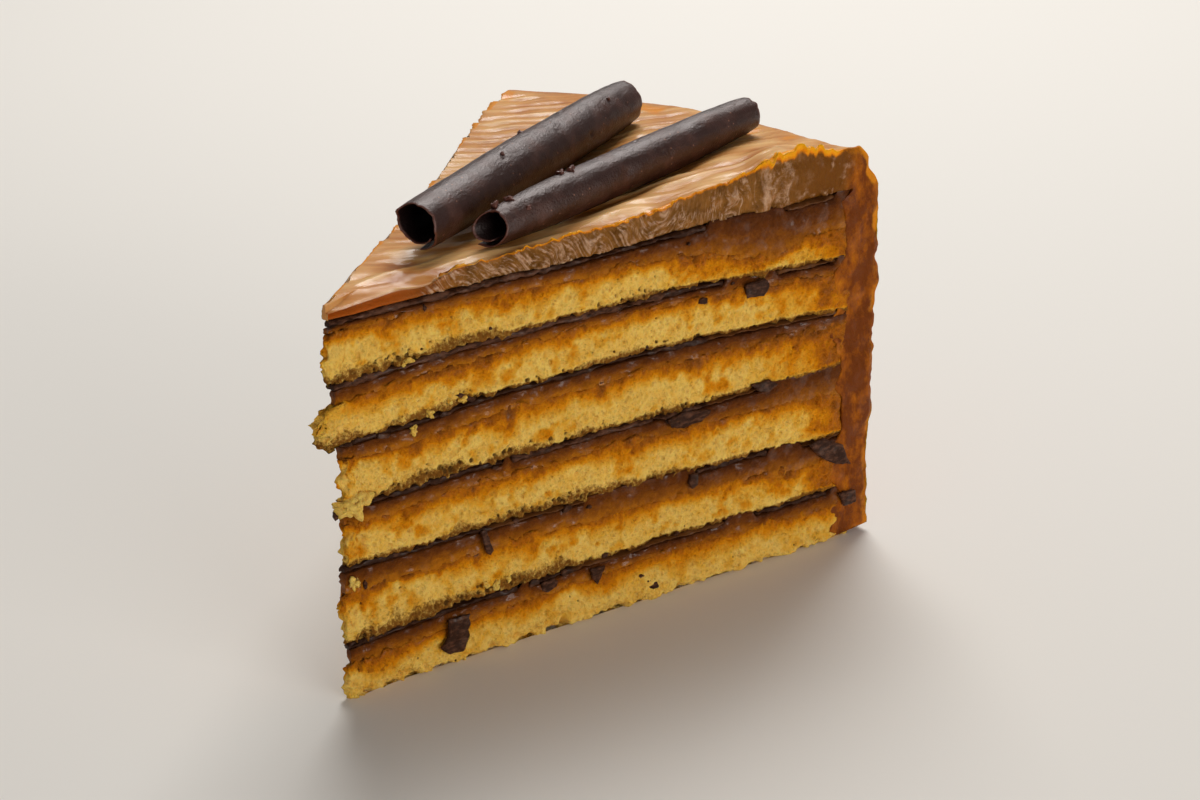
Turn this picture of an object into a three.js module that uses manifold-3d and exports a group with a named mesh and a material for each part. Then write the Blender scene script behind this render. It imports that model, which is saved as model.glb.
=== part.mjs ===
// A slice of tall layer cake, in millimetres with +Z up. Six yellow sponges carry a caramel filling and a
// thin chocolate sheet each. Milky caramel frosting covers the top and turns down over the rim as icing,
// and two hollow chocolate rolls lie on it.
//
// The slice's tip points to -Y and its rim to +Y, so one cut face looks to the right (+X) and the other to
// the left. Every layer is a block whose grid is bent onto the wedge between the two cuts.
import * as THREE from "three";
import { mergeVertices } from "three/addons/utils/BufferGeometryUtils.js";
import Module from "manifold-3d";

const wasm = await Module();
wasm.setup();

// ---- Driving dimensions ------------------------------------------------------------------------------
const cakeRadius = 115; // the whole cake, icing included
const sliceAngle = THREE.MathUtils.degToRad(43);
const rimIcing = 6; // thickness of the icing round the rim
const icingClearance = 0.8; // the icing's lower edge stops this far above the plate
const sheetThickness = 1; // a chocolate sheet
const gap = 0.2; // between neighbours that touch in the real cake
const rimGap = 0.3; // between the layers and the icing round them
const tipWidth = 1.2; // the knife leaves the tip this blunt
const knobSpread = 0.5; // a knob of crumb at the tip is wider by this share of how far it sticks out
const shallowTip = 0.6; // caramel and chocolate stop at least this far behind the cut's own point

// How the cut faces stand out: the depth of each layer's unevenness, and how far it lies in or out.
const crumbCut = { rough: 0.35, wavelength: 6 };
const caramelCut = { rough: 0.3, wavelength: 13, recess: 0.45 };
const sheetCut = { rough: 0.35, wavelength: 9, proud: 0.2 };
const layerWaver = { depth: 0.22, wavelength: 26 }; // of the boundaries between layers

// One entry for each sponge, from the plate upwards, with what lies on it. A lie gives a boundary's height
// at the tip, its rise from tip to rim and its arch half way. setBack is how far the sponge's tip lies
// behind the cut's own point: where it is negative a knob of crumb sticks out instead.
const layers = [
  { crumb: lie(6.4, 0.8, 1.9), sheet: lie(10.4, 0, 1.2), setBack: 0.3 },
  { crumb: lie(20.6, -3.4, 1.4), sheet: lie(25.2, -3.2, 0.8), setBack: 0.1 },
  { crumb: lie(33.6, -2.4, 1.2), sheet: lie(36.8, -0.3, 0.3), setBack: 1.5 },
  { crumb: lie(45, -0.5, 1.9), sheet: lie(48.2, -0.8, 2.4), setBack: 2 },
  { crumb: lie(56, -0.8, 2.7), sheet: lie(59.5, -1.6, 1.8), setBack: -3.4 },
  { crumb: lie(69, -4.8, 1), sheet: lie(70.7, 0.6, 0), setBack: -0.7 },
];

// Where the top sponge sags at the right cut face, a pool of caramel fills the hollow.
const pool = { distance: 90, length: 9, reach: 11, depth: 3.6 };

// The frosting's top: its height at the tip, how much it lifts within a few millimetres, how it rises
// towards the rim and leans up towards the right cut, the crest and the small corner peak that the knife
// pulled up there, and the rounded shoulder of the rim.
const frosting = {
  tipHeight: 73.4,
  lift: { height: 1.3, length: 8 },
  rise: { height: 3.7, from: 40, length: 55 },
  lean: { height: 0.9, length: 60 },
  crests: [
    { height: 2.9, distance: 95, length: 7.5, reach: 9 },
    { height: 1.9, distance: 109, length: 2.6, reach: 4 },
  ],
  shoulder: { fromRight: 106.5, fromLeft: 109.5, to: 115.8, drop: 13 },
  rimBulge: { height: 62, depth: 0.9, length: 12 },
};

// Spatula strokes: arcs round a point left of the slice, with the spacing and depth of their ridges.
const strokes = { centre: [-34, 66], spacing: 8.2, depth: 0.7, waver: 2.4 };

// Pieces of chocolate sheet that the knife dragged down over the right cut face: the layer they hang
// from, their middle's distance from the tip, their width and the height of their lower end.
const shards = [
  { layer: 0, distance: 21.5, width: 5, lowest: 2.5 },
  { layer: 0, distance: 51, width: 2.4, lowest: 7.4 },
  { layer: 1, distance: 28.8, width: 1.8, lowest: 20 },
  { layer: 1, distance: 73, width: 2.2, lowest: 21 },
  { layer: 1, distance: 104.3, width: 7.6, lowest: 16.2 },
  { layer: 2, distance: 71.5, width: 8, lowest: 33.8 },
  { layer: 4, distance: 87.5, width: 5, lowest: 55.8 },
];
const shardThickness = 0.75;
const shardStandOff = 0.65;

// The chocolate rolls: the middle of each end, the outer radius near, half way and far, and the turn at
// which the sheet's outer edge lies.
const rolls = [
  { near: [-0.9, 25.6, 80], far: [-8, 95.8, 81.8], radii: [4.7, 5.2, 4.5], seam: 0.1 },
  { near: [8.3, 32.9, 78.9], far: [15.6, 103, 82], radii: [3.5, 4.5, 3.85], seam: 0.19 },
];
const rollWall = 0.8;
const rollOverlap = 1.14; // turns of the rolled sheet
const rollRagged = 1.1; // how uneven the ends are
const seat = { flat: 0.6, slope: 0.8, beyond: 0.04 }; // of the frosting under a roll, as shares of it

// Grid steps: along the slice, across it, and up each kind of layer.
const alongSteps = 24;
const acrossSteps = 3;
const crumbSteps = 3;
const frostingSteps = { along: 46, across: 18, up: 8 };
const rollSteps = { around: 20, along: 9 };

// ---- Helpers -----------------------------------------------------------------------------------------
function lie(tip, rise, arch) {
  return { tip, rise, arch };
}

const bell = (offset, length) => Math.exp(-((offset / length) ** 2));
const smooth = (share) => THREE.MathUtils.smoothstep(share, 0, 1);

// Repeatable draws between 0 and 1.
function drawsFrom(seed) {
  let state = seed;
  return () => {
    state = (Math.imul(state, 1664525) + 1013904223) >>> 0;
    return state / 2 ** 32;
  };
}

// An uneven field between about -1 and 1: a few sine waves with headings and lengths of their own.
function unevenness(seed, wavelength) {
  const draw = drawsFrom(seed * 7919 + 17);
  const waves = Array.from({ length: 6 }, () => {
    const heading = draw() * Math.PI;
    const number = (2 * Math.PI) / (wavelength * (0.6 + 0.9 * draw()));
    const phase = draw() * 2 * Math.PI;
    return { x: number * Math.cos(heading), y: number * Math.sin(heading), phase };
  });
  return (x, y) => {
    const sum = waves.reduce((total, w) => total + Math.sin(w.x * x + w.y * y + w.phase), 0);
    return (sum * 2) / waves.length;
  };
}

// A closed body: a block of grid cells, each corner of which goes where place says. BoxGeometry splits
// the cells of its underside the other way from those of its top. Here both are split alike, so the top
// of a layer and the underside of the next stay parallel.
function bentBlock(steps, place) {
  const block = new THREE.BoxGeometry(1, 1, 1, ...steps);
  block.deleteAttribute("normal");
  block.deleteAttribute("uv");
  const underside = block.groups[5];
  const order = block.index.array;
  for (let i = underside.start; i < underside.start + underside.count; i += 6) {
    const [a, b, d, , c] = order.slice(i, i + 6);
    order.set([a, b, c, a, c, d], i);
  }
  const corners = block.attributes.position;
  for (let i = 0; i < corners.count; i++) {
    const share = new THREE.Vector3().fromBufferAttribute(corners, i).addScalar(0.5);
    corners.setXYZ(i, ...place(share.x, share.y, share.z));
  }
  return mergeVertices(block, 1e-3);
}

function solidOf(geometry) {
  return new wasm.Manifold(
    new wasm.Mesh({
      numProp: 3,
      vertProperties: new Float32Array(geometry.attributes.position.array),
      triVerts: new Uint32Array(geometry.index.array),
    }),
  );
}

function geometryOf(solid) {
  const mesh = solid.getMesh();
  return new THREE.BufferGeometry()
    .setAttribute("position", new THREE.BufferAttribute(mesh.vertProperties, mesh.numProp))
    .setIndex(new THREE.BufferAttribute(mesh.triVerts, 1));
}

// ---- The wedge ---------------------------------------------------------------------------------------
const rightHeading = (Math.PI - sliceAngle) / 2; // of the right cut face, counted from +X
const spongeRadius = cakeRadius - rimIcing;

// A point of the wedge in plan: across is 0 on the right cut face and 1 on the left one.
function planPoint(distance, across) {
  const heading = rightHeading + across * sliceAngle;
  return [distance * Math.cos(heading), distance * Math.sin(heading)];
}

// The direction that looks out of a cut face.
function faceNormal(across) {
  const heading = rightHeading + across * sliceAngle;
  const side = across > 0.5 ? -1 : 1;
  return [side * Math.sin(heading), -side * Math.cos(heading)];
}

const wavers = layers.map((_, index) => unevenness(index + 1, layerWaver.wavelength));

function boundaryHeight({ tip, rise, arch }, x, y) {
  const share = Math.hypot(x, y) / cakeRadius;
  return tip + rise * share + arch * Math.sin(Math.PI * Math.min(share, 1));
}

function poolDepth(x, y) {
  const [normalX, normalY] = faceNormal(0);
  const inwards = -(x * normalX + y * normalY);
  return pool.depth * bell(Math.hypot(x, y) - pool.distance, pool.length) * bell(inwards, pool.reach);
}

function crumbTop(index, x, y) {
  const top = boundaryHeight(layers[index].crumb, x, y) + layerWaver.depth * wavers[index](x, y);
  return index === layers.length - 1 ? top - poolDepth(x, y) : top;
}

function sheetMiddle(index, x, y) {
  return boundaryHeight(layers[index].sheet, x, y) + layerWaver.depth * wavers[index](x, y);
}

// The left cut face takes its unevenness from further along the same field.
const farSide = 60;

// A layer between two surfaces. relief says how far the cut faces stand out, by distance and height.
function slab({ rows, underside, topside, setBack, relief }) {
  return bentBlock([alongSteps, acrossSteps, rows], (along, across, up) => {
    const distance = along * spongeRadius;
    let [x, y] = planPoint(distance, across);
    if (along === 0) {
      const knob = Math.max(0, -setBack) * Math.sin(Math.PI * up);
      x = (tipWidth + knobSpread * knob) * (0.5 - across);
      y = setBack < 0 ? -knob : setBack;
    }
    const z = THREE.MathUtils.lerp(underside(x, y), topside(x, y), up);
    if (along > 0 && (across === 0 || across === 1)) {
      const [normalX, normalY] = faceNormal(across);
      const out = relief(distance + farSide * across, z);
      x += out * normalX;
      y += out * normalY;
    }
    return [x, y, z];
  });
}

// ---- Sponges, caramel and chocolate sheets -------------------------------------------------------------
function spongeGeometry(index) {
  const crumbs = unevenness(index + 31, crumbCut.wavelength);
  const underside = (x, y) =>
    index === 0 ? 0 : sheetMiddle(index - 1, x, y) + sheetThickness / 2 + gap;
  return slab({
    rows: crumbSteps,
    underside,
    topside: (x, y) => crumbTop(index, x, y),
    setBack: layers[index].setBack,
    relief: (distance, z) => crumbCut.rough * crumbs(distance, z),
  });
}

function caramelGeometry(index) {
  const drips = unevenness(index + 61, caramelCut.wavelength);
  return slab({
    rows: 1,
    underside: (x, y) => crumbTop(index, x, y) + gap,
    topside: (x, y) => sheetMiddle(index, x, y) - sheetThickness / 2 - gap,
    setBack: Math.max(shallowTip, layers[index].setBack),
    relief: (distance, z) => caramelCut.rough * drips(distance, z) - caramelCut.recess,
  });
}

// A shard hangs from its sheet's edge: a thin plate that stands just off the cut face.
function shardGeometry({ layer, distance, width, lowest }) {
  const [normalX, normalY] = faceNormal(0);
  const [middleX, middleY] = planPoint(distance, 0);
  const middle = sheetMiddle(layer, middleX, middleY);
  const edge = sheetThickness / 2 - 0.1;
  const heights = [lowest, (lowest + middle) / 2, middle - edge, middle + edge];
  const widths = [0.45, 1, 0.85, 0.8];
  const rootDepth = -1.2;
  const slant = 0.2;
  const steps = heights.length - 1;
  return bentBlock([1, 1, steps], (along, across, up) => {
    const level = Math.round(up * steps);
    const isRoot = level === steps;
    const from = distance + width * widths[level] * (along - 0.5);
    const out = across === 1 && isRoot ? rootDepth : shardStandOff + (1 - across) * shardThickness;
    const [x, y] = planPoint(from, 0);
    return [x + out * normalX, y + out * normalY, heights[level] + (isRoot ? 0 : (along - 0.5) * slant)];
  });
}

function sheetGeometry(index) {
  const cracks = unevenness(index + 91, sheetCut.wavelength);
  const sheet = slab({
    rows: 1,
    underside: (x, y) => sheetMiddle(index, x, y) - sheetThickness / 2,
    topside: (x, y) => sheetMiddle(index, x, y) + sheetThickness / 2,
    setBack: Math.max(shallowTip, layers[index].setBack),
    relief: (distance) => sheetCut.proud + sheetCut.rough * cracks(distance, 0),
  });
  const hanging = shards.filter((shard) => shard.layer === index);
  return geometryOf(
    hanging.reduce((solid, shard) => solid.add(solidOf(shardGeometry(shard))), solidOf(sheet)),
  );
}

// ---- Chocolate rolls -----------------------------------------------------------------------------------
const upright = new THREE.Vector3(0, 0, 1);

function rollAxis({ near, far }) {
  const start = new THREE.Vector3(...near);
  return { start, span: new THREE.Vector3(...far).sub(start) };
}

const rollRadius = ({ radii: [near, middle, far] }, along) => {
  const end = along < 0.5 ? near : far;
  return middle + (end - middle) * Math.abs(2 * along - 1) ** 2.5;
};

function rollGeometry(roll, index) {
  const { start, span } = rollAxis(roll);
  const forward = span.clone().normalize();
  const sideways = new THREE.Vector3().crossVectors(forward, upright).normalize();
  const upwards = new THREE.Vector3().crossVectors(sideways, forward);
  const ragged = unevenness(index + 121, 2.2);
  const perTurn = rollWall + gap;
  return bentBlock([rollSteps.around, rollSteps.along, 1], (around, along, wall) => {
    const turn = roll.seam + around * rollOverlap;
    const angle = -2 * Math.PI * turn;
    const outer = rollRadius(roll, along) - perTurn * rollOverlap * (1 - around);
    const radius = outer - rollWall * (1 - wall);
    const endRoughness = along === 0 || along === 1 ? rollRagged * ragged(2 * turn, 9 * along) : 0;
    return start
      .clone()
      .addScaledVector(span, along)
      .addScaledVector(forward, endRoughness)
      .addScaledVector(sideways, radius * Math.cos(angle))
      .addScaledVector(upwards, radius * Math.sin(angle))
      .toArray();
  });
}

// The height that the frosting may reach under a roll: a flat-bottomed seat a gap below it.
function seatHeight(roll, x, y) {
  const { start, span } = rollAxis(roll);
  const planSquare = span.x ** 2 + span.y ** 2;
  const along = ((x - start.x) * span.x + (y - start.y) * span.y) / planSquare;
  if (along < -seat.beyond || along > 1 + seat.beyond) return Infinity;
  const held = THREE.MathUtils.clamp(along, 0, 1);
  const aside = Math.abs((x - start.x) * span.y - (y - start.y) * span.x) / Math.sqrt(planSquare);
  const radius = rollRadius(roll, held);
  return start.z + span.z * held - radius - gap + seat.slope * Math.max(0, aside - seat.flat * radius);
}

// ---- Frosting and rim icing ----------------------------------------------------------------------------
const strokeWaver = unevenness(151, 34);
const rimUneven = unevenness(152, 30);

function strokeRelief(x, y) {
  const reach = Math.hypot(x - strokes.centre[0], y - strokes.centre[1]);
  const phase = (2 * Math.PI * (reach + strokes.waver * strokeWaver(x, y))) / strokes.spacing;
  return (strokes.depth / 2) * (Math.sin(phase) + 0.35 * Math.sin(2 * phase + 1));
}

function frostingTop(x, y) {
  const { tipHeight, lift, rise, lean, crests, shoulder } = frosting;
  const distance = Math.hypot(x, y);
  const [normalX, normalY] = faceNormal(0);
  const inwards = Math.max(0, -(x * normalX + y * normalY));
  const lifted = lift.height * (1 - Math.exp(-distance / lift.length));
  const risen = rise.height * smooth((distance - rise.from) / rise.length);
  const towardsRight = Math.atan2(x, y) / (sliceAngle / 2);
  const leant = lean.height * towardsRight * smooth(distance / lean.length);
  const pulled = crests.reduce(
    (sum, crest) =>
      sum + crest.height * bell(distance - crest.distance, crest.length) * bell(inwards, crest.reach),
    0,
  );
  const from = THREE.MathUtils.lerp(shoulder.fromLeft, shoulder.fromRight, (1 + towardsRight) / 2);
  const round = THREE.MathUtils.clamp((distance - from) / (shoulder.to - from), 0, 1);
  const dropped = shoulder.drop * (1 - Math.sqrt(1 - round ** 2));
  const ridged = strokeRelief(x, y) * smooth(distance / 12) * (1 - round);
  const natural = tipHeight + lifted + risen + leant + pulled + ridged;
  return Math.min(natural, ...rolls.map((roll) => seatHeight(roll, x, y))) - dropped;
}

function rimRadius(across, z) {
  const { height, depth, length } = frosting.rimBulge;
  const uneven = 0.45 * rimUneven(80 * across, z);
  return cakeRadius - 0.2 + depth * bell(z - height, length) + uneven;
}

function frostingGeometry() {
  const { along: alongCells, across: acrossCells, up: upCells } = frostingSteps;
  const whole = bentBlock([alongCells, acrossCells, upCells], (along, across, up) => {
    const edge = rimRadius(across, THREE.MathUtils.lerp(icingClearance, frosting.tipHeight, up));
    let [x, y] = planPoint(along * edge, across);
    if (along === 0) {
      x = tipWidth * (0.5 - across);
      y = 0.4;
    }
    return [x, y, THREE.MathUtils.lerp(icingClearance, frostingTop(x, y), up)];
  });
  // What the layers fill is cut out: their grid with one more step on either side, and the tip pulled out.
  const margin = 1 / acrossSteps;
  const tipMargin = 6;
  const below = -5;
  const filled = bentBlock([alongSteps, acrossSteps + 2, 1], (along, share, up) => {
    const across = THREE.MathUtils.lerp(-margin, 1 + margin, share);
    let [x, y] = planPoint(along * (spongeRadius + rimGap), across);
    if (along === 0) {
      x = tipWidth * (0.5 - across);
      y = -tipMargin;
    }
    const ceiling = sheetMiddle(layers.length - 1, x, y) + sheetThickness / 2 + gap;
    return [x, y, up === 0 ? below : ceiling];
  });
  return geometryOf(solidOf(whole).subtract(solidOf(filled)));
}

// ---- The slice -----------------------------------------------------------------------------------------
const looks = {
  crumb: new THREE.MeshStandardMaterial({ color: 0xdcae45, roughness: 0.95, metalness: 0 }),
  caramel: new THREE.MeshStandardMaterial({ color: 0x8a4f12, roughness: 0.25, metalness: 0 }),
  chocolate: new THREE.MeshStandardMaterial({ color: 0x35221d, roughness: 0.45, metalness: 0 }),
  frosting: new THREE.MeshStandardMaterial({ color: 0xc08a58, roughness: 0.3, metalness: 0 }),
  roll: new THREE.MeshStandardMaterial({ color: 0x3d2a27, roughness: 0.5, metalness: 0 }),
};

const cake = new THREE.Group();
const slice = new THREE.Group();
slice.add(cake);

function put(name, geometry, look) {
  const mesh = new THREE.Mesh(geometry, look);
  mesh.name = name;
  cake.add(mesh);
}

layers.forEach((_, index) => {
  put(`sponge_${index + 1}`, spongeGeometry(index), looks.crumb);
  put(`caramel_${index + 1}`, caramelGeometry(index), looks.caramel);
  put(`chocolate_${index + 1}`, sheetGeometry(index), looks.chocolate);
});
put("frosting", frostingGeometry(), looks.frosting);
rolls.forEach((roll, index) => put(`roll_${index + 1}`, rollGeometry(roll, index), looks.roll));

// The part's origin is under the middle of its box, on the plate.
const box = new THREE.Box3().setFromObject(cake);
const middle = box.getCenter(new THREE.Vector3());
cake.position.set(-middle.x, -middle.y, -box.min.z);

export default slice;
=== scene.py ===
# %% [markdown]
# # A slice of tall layer cake
#
# Six thin yellow sponges are stacked with brown caramel and a thin sheet of dark chocolate between them.
# Milky caramel frosting covers the top and the rim, and two rolled chocolate curls lie on it. The packed
# solids already hold every layer in its real place. Each cell below measures one of them and makes the
# fine, uneven, edible surface that stands for it.

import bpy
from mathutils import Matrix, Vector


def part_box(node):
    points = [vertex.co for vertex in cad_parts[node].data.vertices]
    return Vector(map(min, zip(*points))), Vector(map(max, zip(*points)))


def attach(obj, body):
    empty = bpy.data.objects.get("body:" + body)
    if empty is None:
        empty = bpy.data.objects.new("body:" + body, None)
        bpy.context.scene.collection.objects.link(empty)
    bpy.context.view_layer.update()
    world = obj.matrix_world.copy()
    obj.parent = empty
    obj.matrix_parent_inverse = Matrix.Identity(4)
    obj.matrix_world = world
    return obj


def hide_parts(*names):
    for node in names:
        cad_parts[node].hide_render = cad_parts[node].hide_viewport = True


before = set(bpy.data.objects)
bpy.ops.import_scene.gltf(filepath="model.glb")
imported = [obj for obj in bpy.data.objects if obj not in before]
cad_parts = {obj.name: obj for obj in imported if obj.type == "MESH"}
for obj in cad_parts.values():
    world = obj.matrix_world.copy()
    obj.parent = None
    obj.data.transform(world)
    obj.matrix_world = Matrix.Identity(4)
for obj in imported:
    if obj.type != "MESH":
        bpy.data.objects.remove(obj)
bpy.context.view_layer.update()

# %% Libraries and the working unit
import math
from types import SimpleNamespace

import bpy
import numpy as np
from mathutils import Matrix, Vector
from mathutils.bvhtree import BVHTree

MM = 0.001
layers = sorted(int(name.split("_")[1]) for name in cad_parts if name.startswith("sponge_"))
print(len(layers), "layers, worked on in millimetres")

# %% [markdown]
# ## Measuring the wedge
#
# The slice is a wedge: two straight cuts that meet at the tip, and a round rim. Typing its angle in again
# would let the two models drift apart. Instead a straight line is fitted through the corners that lie
# close to each cut, and the tip is where both lines cross.


# %% Corners of a node, and the line of a cut
def corners_of(node):
    """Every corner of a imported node, in millimetres."""
    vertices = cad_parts[node].data.vertices
    flat = np.empty(3 * len(vertices))
    vertices.foreach_get("co", flat)
    return flat.reshape(-1, 3) / MM


def cut_line(points, start, end):
    """A point and a direction of the line through the points that lie close to start-end."""
    close = 1.0
    clear_of_tip = 14.0
    rounds = 3
    for _ in range(rounds):
        way = (end - start) / np.linalg.norm(end - start)
        aside = (points - start) @ np.array([-way[1], way[0]])
        held = points[(np.abs(aside) < close) & ((points - start) @ way > clear_of_tip)]
        middle = held.mean(0)
        way = np.linalg.svd(held - middle)[2][0]
        way = way * np.sign(way[1])
        start = middle - way * np.linalg.norm(middle - start)
        end = middle + way * np.linalg.norm(end - middle)
    return middle, way


# %% The tip, the headings of the cuts and the radius of the sponges
outline = np.vstack([corners_of(f"sponge_{n}")[:, :2] for n in layers])
rough_tip = np.array([outline[:, 0].mean(), outline[:, 1].min()])
right_line = cut_line(outline, rough_tip, outline[outline[:, 0].argmax()])
left_line = cut_line(outline, rough_tip, outline[outline[:, 0].argmin()])
(right_middle, right_way), (left_middle, left_way) = right_line, left_line
steps_to_cross = np.linalg.solve(np.column_stack([right_way, -left_way]), left_middle - right_middle)
tip = right_middle + right_way * steps_to_cross[0]
right_heading = math.atan2(right_way[1], right_way[0])
wedge_angle = math.atan2(left_way[1], left_way[0]) - right_heading
nearly_all = 99
sponge_radius = np.percentile(np.hypot(*(outline - tip).T), nearly_all)
print(f"tip at {tip.round(2)}, {math.degrees(wedge_angle):.2f} degrees, radius {sponge_radius:.2f} mm")


# %% Places on the wedge
def on_plan(distance, across):
    """A point in plan: across is 0 on the right cut face and 1 on the left one."""
    heading = right_heading + across * wedge_angle
    return np.stack([tip[0] + distance * np.cos(heading), tip[1] + distance * np.sin(heading)], -1)


def outwards(across):
    """The direction that looks out of the nearer cut face."""
    on_left = np.asarray(across) > 0.5
    heading = right_heading + on_left * wedge_angle
    side = np.where(on_left, -1, 1)
    return np.stack([side * np.sin(heading), -side * np.cos(heading), 0 * heading], -1)


# %% [markdown]
# ## Reading heights from the solids
#
# A ray dropped on a node gives its top, and a ray sent up from below gives its underside. A grid of such
# rays makes a small height map for each layer. All fine surfaces are hung on these maps, so they keep the
# slopes and sags of the solids.


# %% Height maps
def tree_of(node):
    """A node's faces in the order that lets rays find them fast."""
    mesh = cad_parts[node].data
    return BVHTree.FromPolygons([v.co for v in mesh.vertices], [p.vertices for p in mesh.polygons])


trees = {name: tree_of(name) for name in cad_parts}


def hit(node, start, direction):
    """Where a ray meets a node, in millimetres, or nothing."""
    found = trees[node].ray_cast(Vector(start) * MM, Vector(direction))[0]
    return None if found is None else np.array(found) / MM


def blended(table, first, second, firsts, seconds):
    """Looks a table up between its rows and columns."""
    i = np.clip(np.interp(first, firsts, range(len(firsts))), 0, len(firsts) - 1.001)
    j = np.clip(np.interp(second, seconds, range(len(seconds))), 0, len(seconds) - 1.001)
    row, column = i.astype(int), j.astype(int)
    down, right = i - row, j - column
    upper = table[row, column] * (1 - right) + table[row, column + 1] * right
    lower = table[row + 1, column] * (1 - right) + table[row + 1, column + 1] * right
    return upper * (1 - down) + lower * down


map_distances = np.linspace(3.2, sponge_radius - 1.5, 60)
map_shares = np.linspace(0.03, 0.97, 9)
middle_share = 0.5
near_tip_distance = 4.0
high_above = 200.0
clear_of_cut = 1.1


def height_map(node, from_above):
    """The top or the underside of a layer, as a function of distance and across."""
    start = high_above if from_above else -high_above
    direction = (0, 0, -1 if from_above else 1)
    table = np.empty((len(map_distances), len(map_shares)))
    for i, distance in enumerate(map_distances):
        least = min(0.5, clear_of_cut / (distance * wedge_angle))
        for j, share in enumerate(np.clip(map_shares, least, 1 - least)):
            x, y = on_plan(distance, share)
            table[i, j] = hit(node, (x, y, start), direction)[2]
    return lambda distance, across: blended(table, distance, across, map_distances, map_shares)


tops = {}
undersides = {}
for kind in ("sponge", "caramel", "chocolate"):
    for n in layers:
        tops[f"{kind}_{n}"] = height_map(f"{kind}_{n}", True)
        undersides[f"{kind}_{n}"] = height_map(f"{kind}_{n}", False)
undersides["frosting"] = height_map("frosting", False)
tip_heights = [float(tops[f"sponge_{n}"](near_tip_distance, middle_share)) for n in layers]
print("heights near the tip:", np.round(tip_heights, 1))


# %% How far each layer's tip lies behind or before the cuts' own point
profile_margin = 0.06
profile_samples = 9
before_tip = 30.0


def tip_profile(node):
    """The tip's distance from the cuts' point, from the underside of a node up to its top."""
    bottom = float(undersides[node](near_tip_distance, middle_share))
    top = float(tops[node](near_tip_distance, middle_share))
    shares = np.linspace(profile_margin, 1 - profile_margin, profile_samples)
    found = []
    for share in shares:
        start = (tip[0], tip[1] - before_tip, bottom + (top - bottom) * share)
        struck = hit(node, start, (0, 1, 0))
        found.append(np.nan if struck is None else struck[1] - tip[1])
    found = np.array(found)
    found[np.isnan(found)] = np.nanmean(found)
    return lambda up: np.interp(up, shares, found)


tips = {name: tip_profile(name) for name in tops}
half_way_up = 0.5
print("tips:", {name: round(float(tips[name](half_way_up)), 2) for name in tips if "sponge" in name})

# %% [markdown]
# ## Unevenness
#
# Cake is uneven at every size: slow waves, crumbs, pores. Three small fields make all of it. `draw` gives
# each cell of a lattice a fixed number, `uneven` blends them to a smooth field, and `pores` puts one round
# pit into some of the cells. They read only places, so every run makes the same cake.


# %% A repeatable number for each cell
WORD_BITS = 0xFFFFFFFF
SHARE_BITS = 0xFFFFFF
AXIS_FACTORS = (73856093, 19349663, 83492791)
SEED_FACTOR = 2654435761
SEED_OFFSET = 97
MIXING_FACTORS = ((15, 2246822519), (13, 3266489917))
LAST_SHIFT = 16


def draw(cells, seed):
    """A repeatable number from 0 to 1 for each cell, an array of whole numbers with three columns."""
    mixed = seed * SEED_FACTOR + SEED_OFFSET
    for axis, factor in enumerate(AXIS_FACTORS):
        mixed = mixed ^ (cells[..., axis].astype(np.int64) * factor)
    mixed &= WORD_BITS
    for shift, factor in MIXING_FACTORS:
        mixed = ((mixed ^ (mixed >> shift)) * factor) & WORD_BITS
    return ((mixed ^ (mixed >> LAST_SHIFT)) & SHARE_BITS) / (SHARE_BITS + 1)


# %% Two noise fields
CUBE = np.array([(a, b, c) for a in (0, 1) for b in (0, 1) for c in (0, 1)])
NEIGHBOURS = np.array([(a, b, c) for a in (-1, 0, 1) for b in (-1, 0, 1) for c in (-1, 0, 1)])
OCTAVE_SEEDS = 31
FULLER = 1.6


def uneven(places, size, seed, octaves=1):
    """A smooth field from about -1 to 1 whose waves are about size long, with finer ones added."""
    total = 0
    strength = 0
    for octave in range(octaves):
        scaled = places * (2**octave / size)
        cell = np.floor(scaled).astype(np.int64)
        share = smooth(scaled - cell)
        field = 0
        for corner in CUBE:
            weight = np.prod(np.where(corner == 1, share, 1 - share), -1)
            field = field + weight * draw(cell + corner, seed + OCTAVE_SEEDS * octave)
        total = total + (2 * field - 1) * 0.5**octave
        strength += 0.5**octave
    return total / strength * FULLER


def pores(places, size, seed, share=1.0, smallest=0.2, largest=0.5):
    """Round pits: 1 in the middle of each, falling to 0 at its edge. Only a share of the cells has one."""
    scaled = places / size
    cell = np.floor(scaled).astype(np.int64)
    deepest = np.zeros(places.shape[:-1])
    for step in NEIGHBOURS:
        owner = cell + step
        middle = owner + np.stack([draw(owner, seed + k) for k in (1, 2, 3)], -1)
        radius = smallest + (largest - smallest) * draw(owner, seed + 4)
        apart = np.sum((scaled - middle) ** 2, -1) / radius**2
        depth = np.clip(1 - apart, 0, 1) * (draw(owner, seed + 5) < share)
        deepest = np.maximum(deepest, depth)
    return deepest


# %% Soft steps, from which all the masks below are made
def smooth(share):
    """0 below 0, 1 above 1 and a smooth rise between them."""
    share = np.clip(share, 0, 1)
    return share * share * (3 - 2 * share)


def rising(value, start, length):
    """0 up to the start, then a smooth rise to 1 over the length."""
    return smooth((value - start) / length)


def fading(value, length):
    """1 where the value is 0, and straight down to 0 over the length."""
    return np.clip(1 - value / length, 0, 1)


def bell(offset, length):
    """1 where the offset is 0, and softly down to both sides."""
    return np.exp(-((offset / length) ** 2))


def within(spans, share, blur):
    """1 inside the spans and 0 outside them, with soft ends."""
    inside = np.zeros_like(share)
    for start, end in spans:
        after_start = smooth((share - start) / blur + 0.5)
        before_end = smooth((end - share) / blur + 0.5)
        inside = np.maximum(inside, after_start * before_end)
    return inside


def squeezed(places, first=1.0, second=1.0, third=1.0):
    """Places whose axes are scaled, so that a noise field is stretched where the factor is below 1."""
    return places * np.array([first, second, third])


def every_way(points, size, seed, octaves):
    """Three noise fields side by side, for moving points in all directions."""
    apart = 40.0
    return np.stack([uneven(points + apart * k, size, seed + k, octaves) for k in range(3)], -1)


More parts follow.
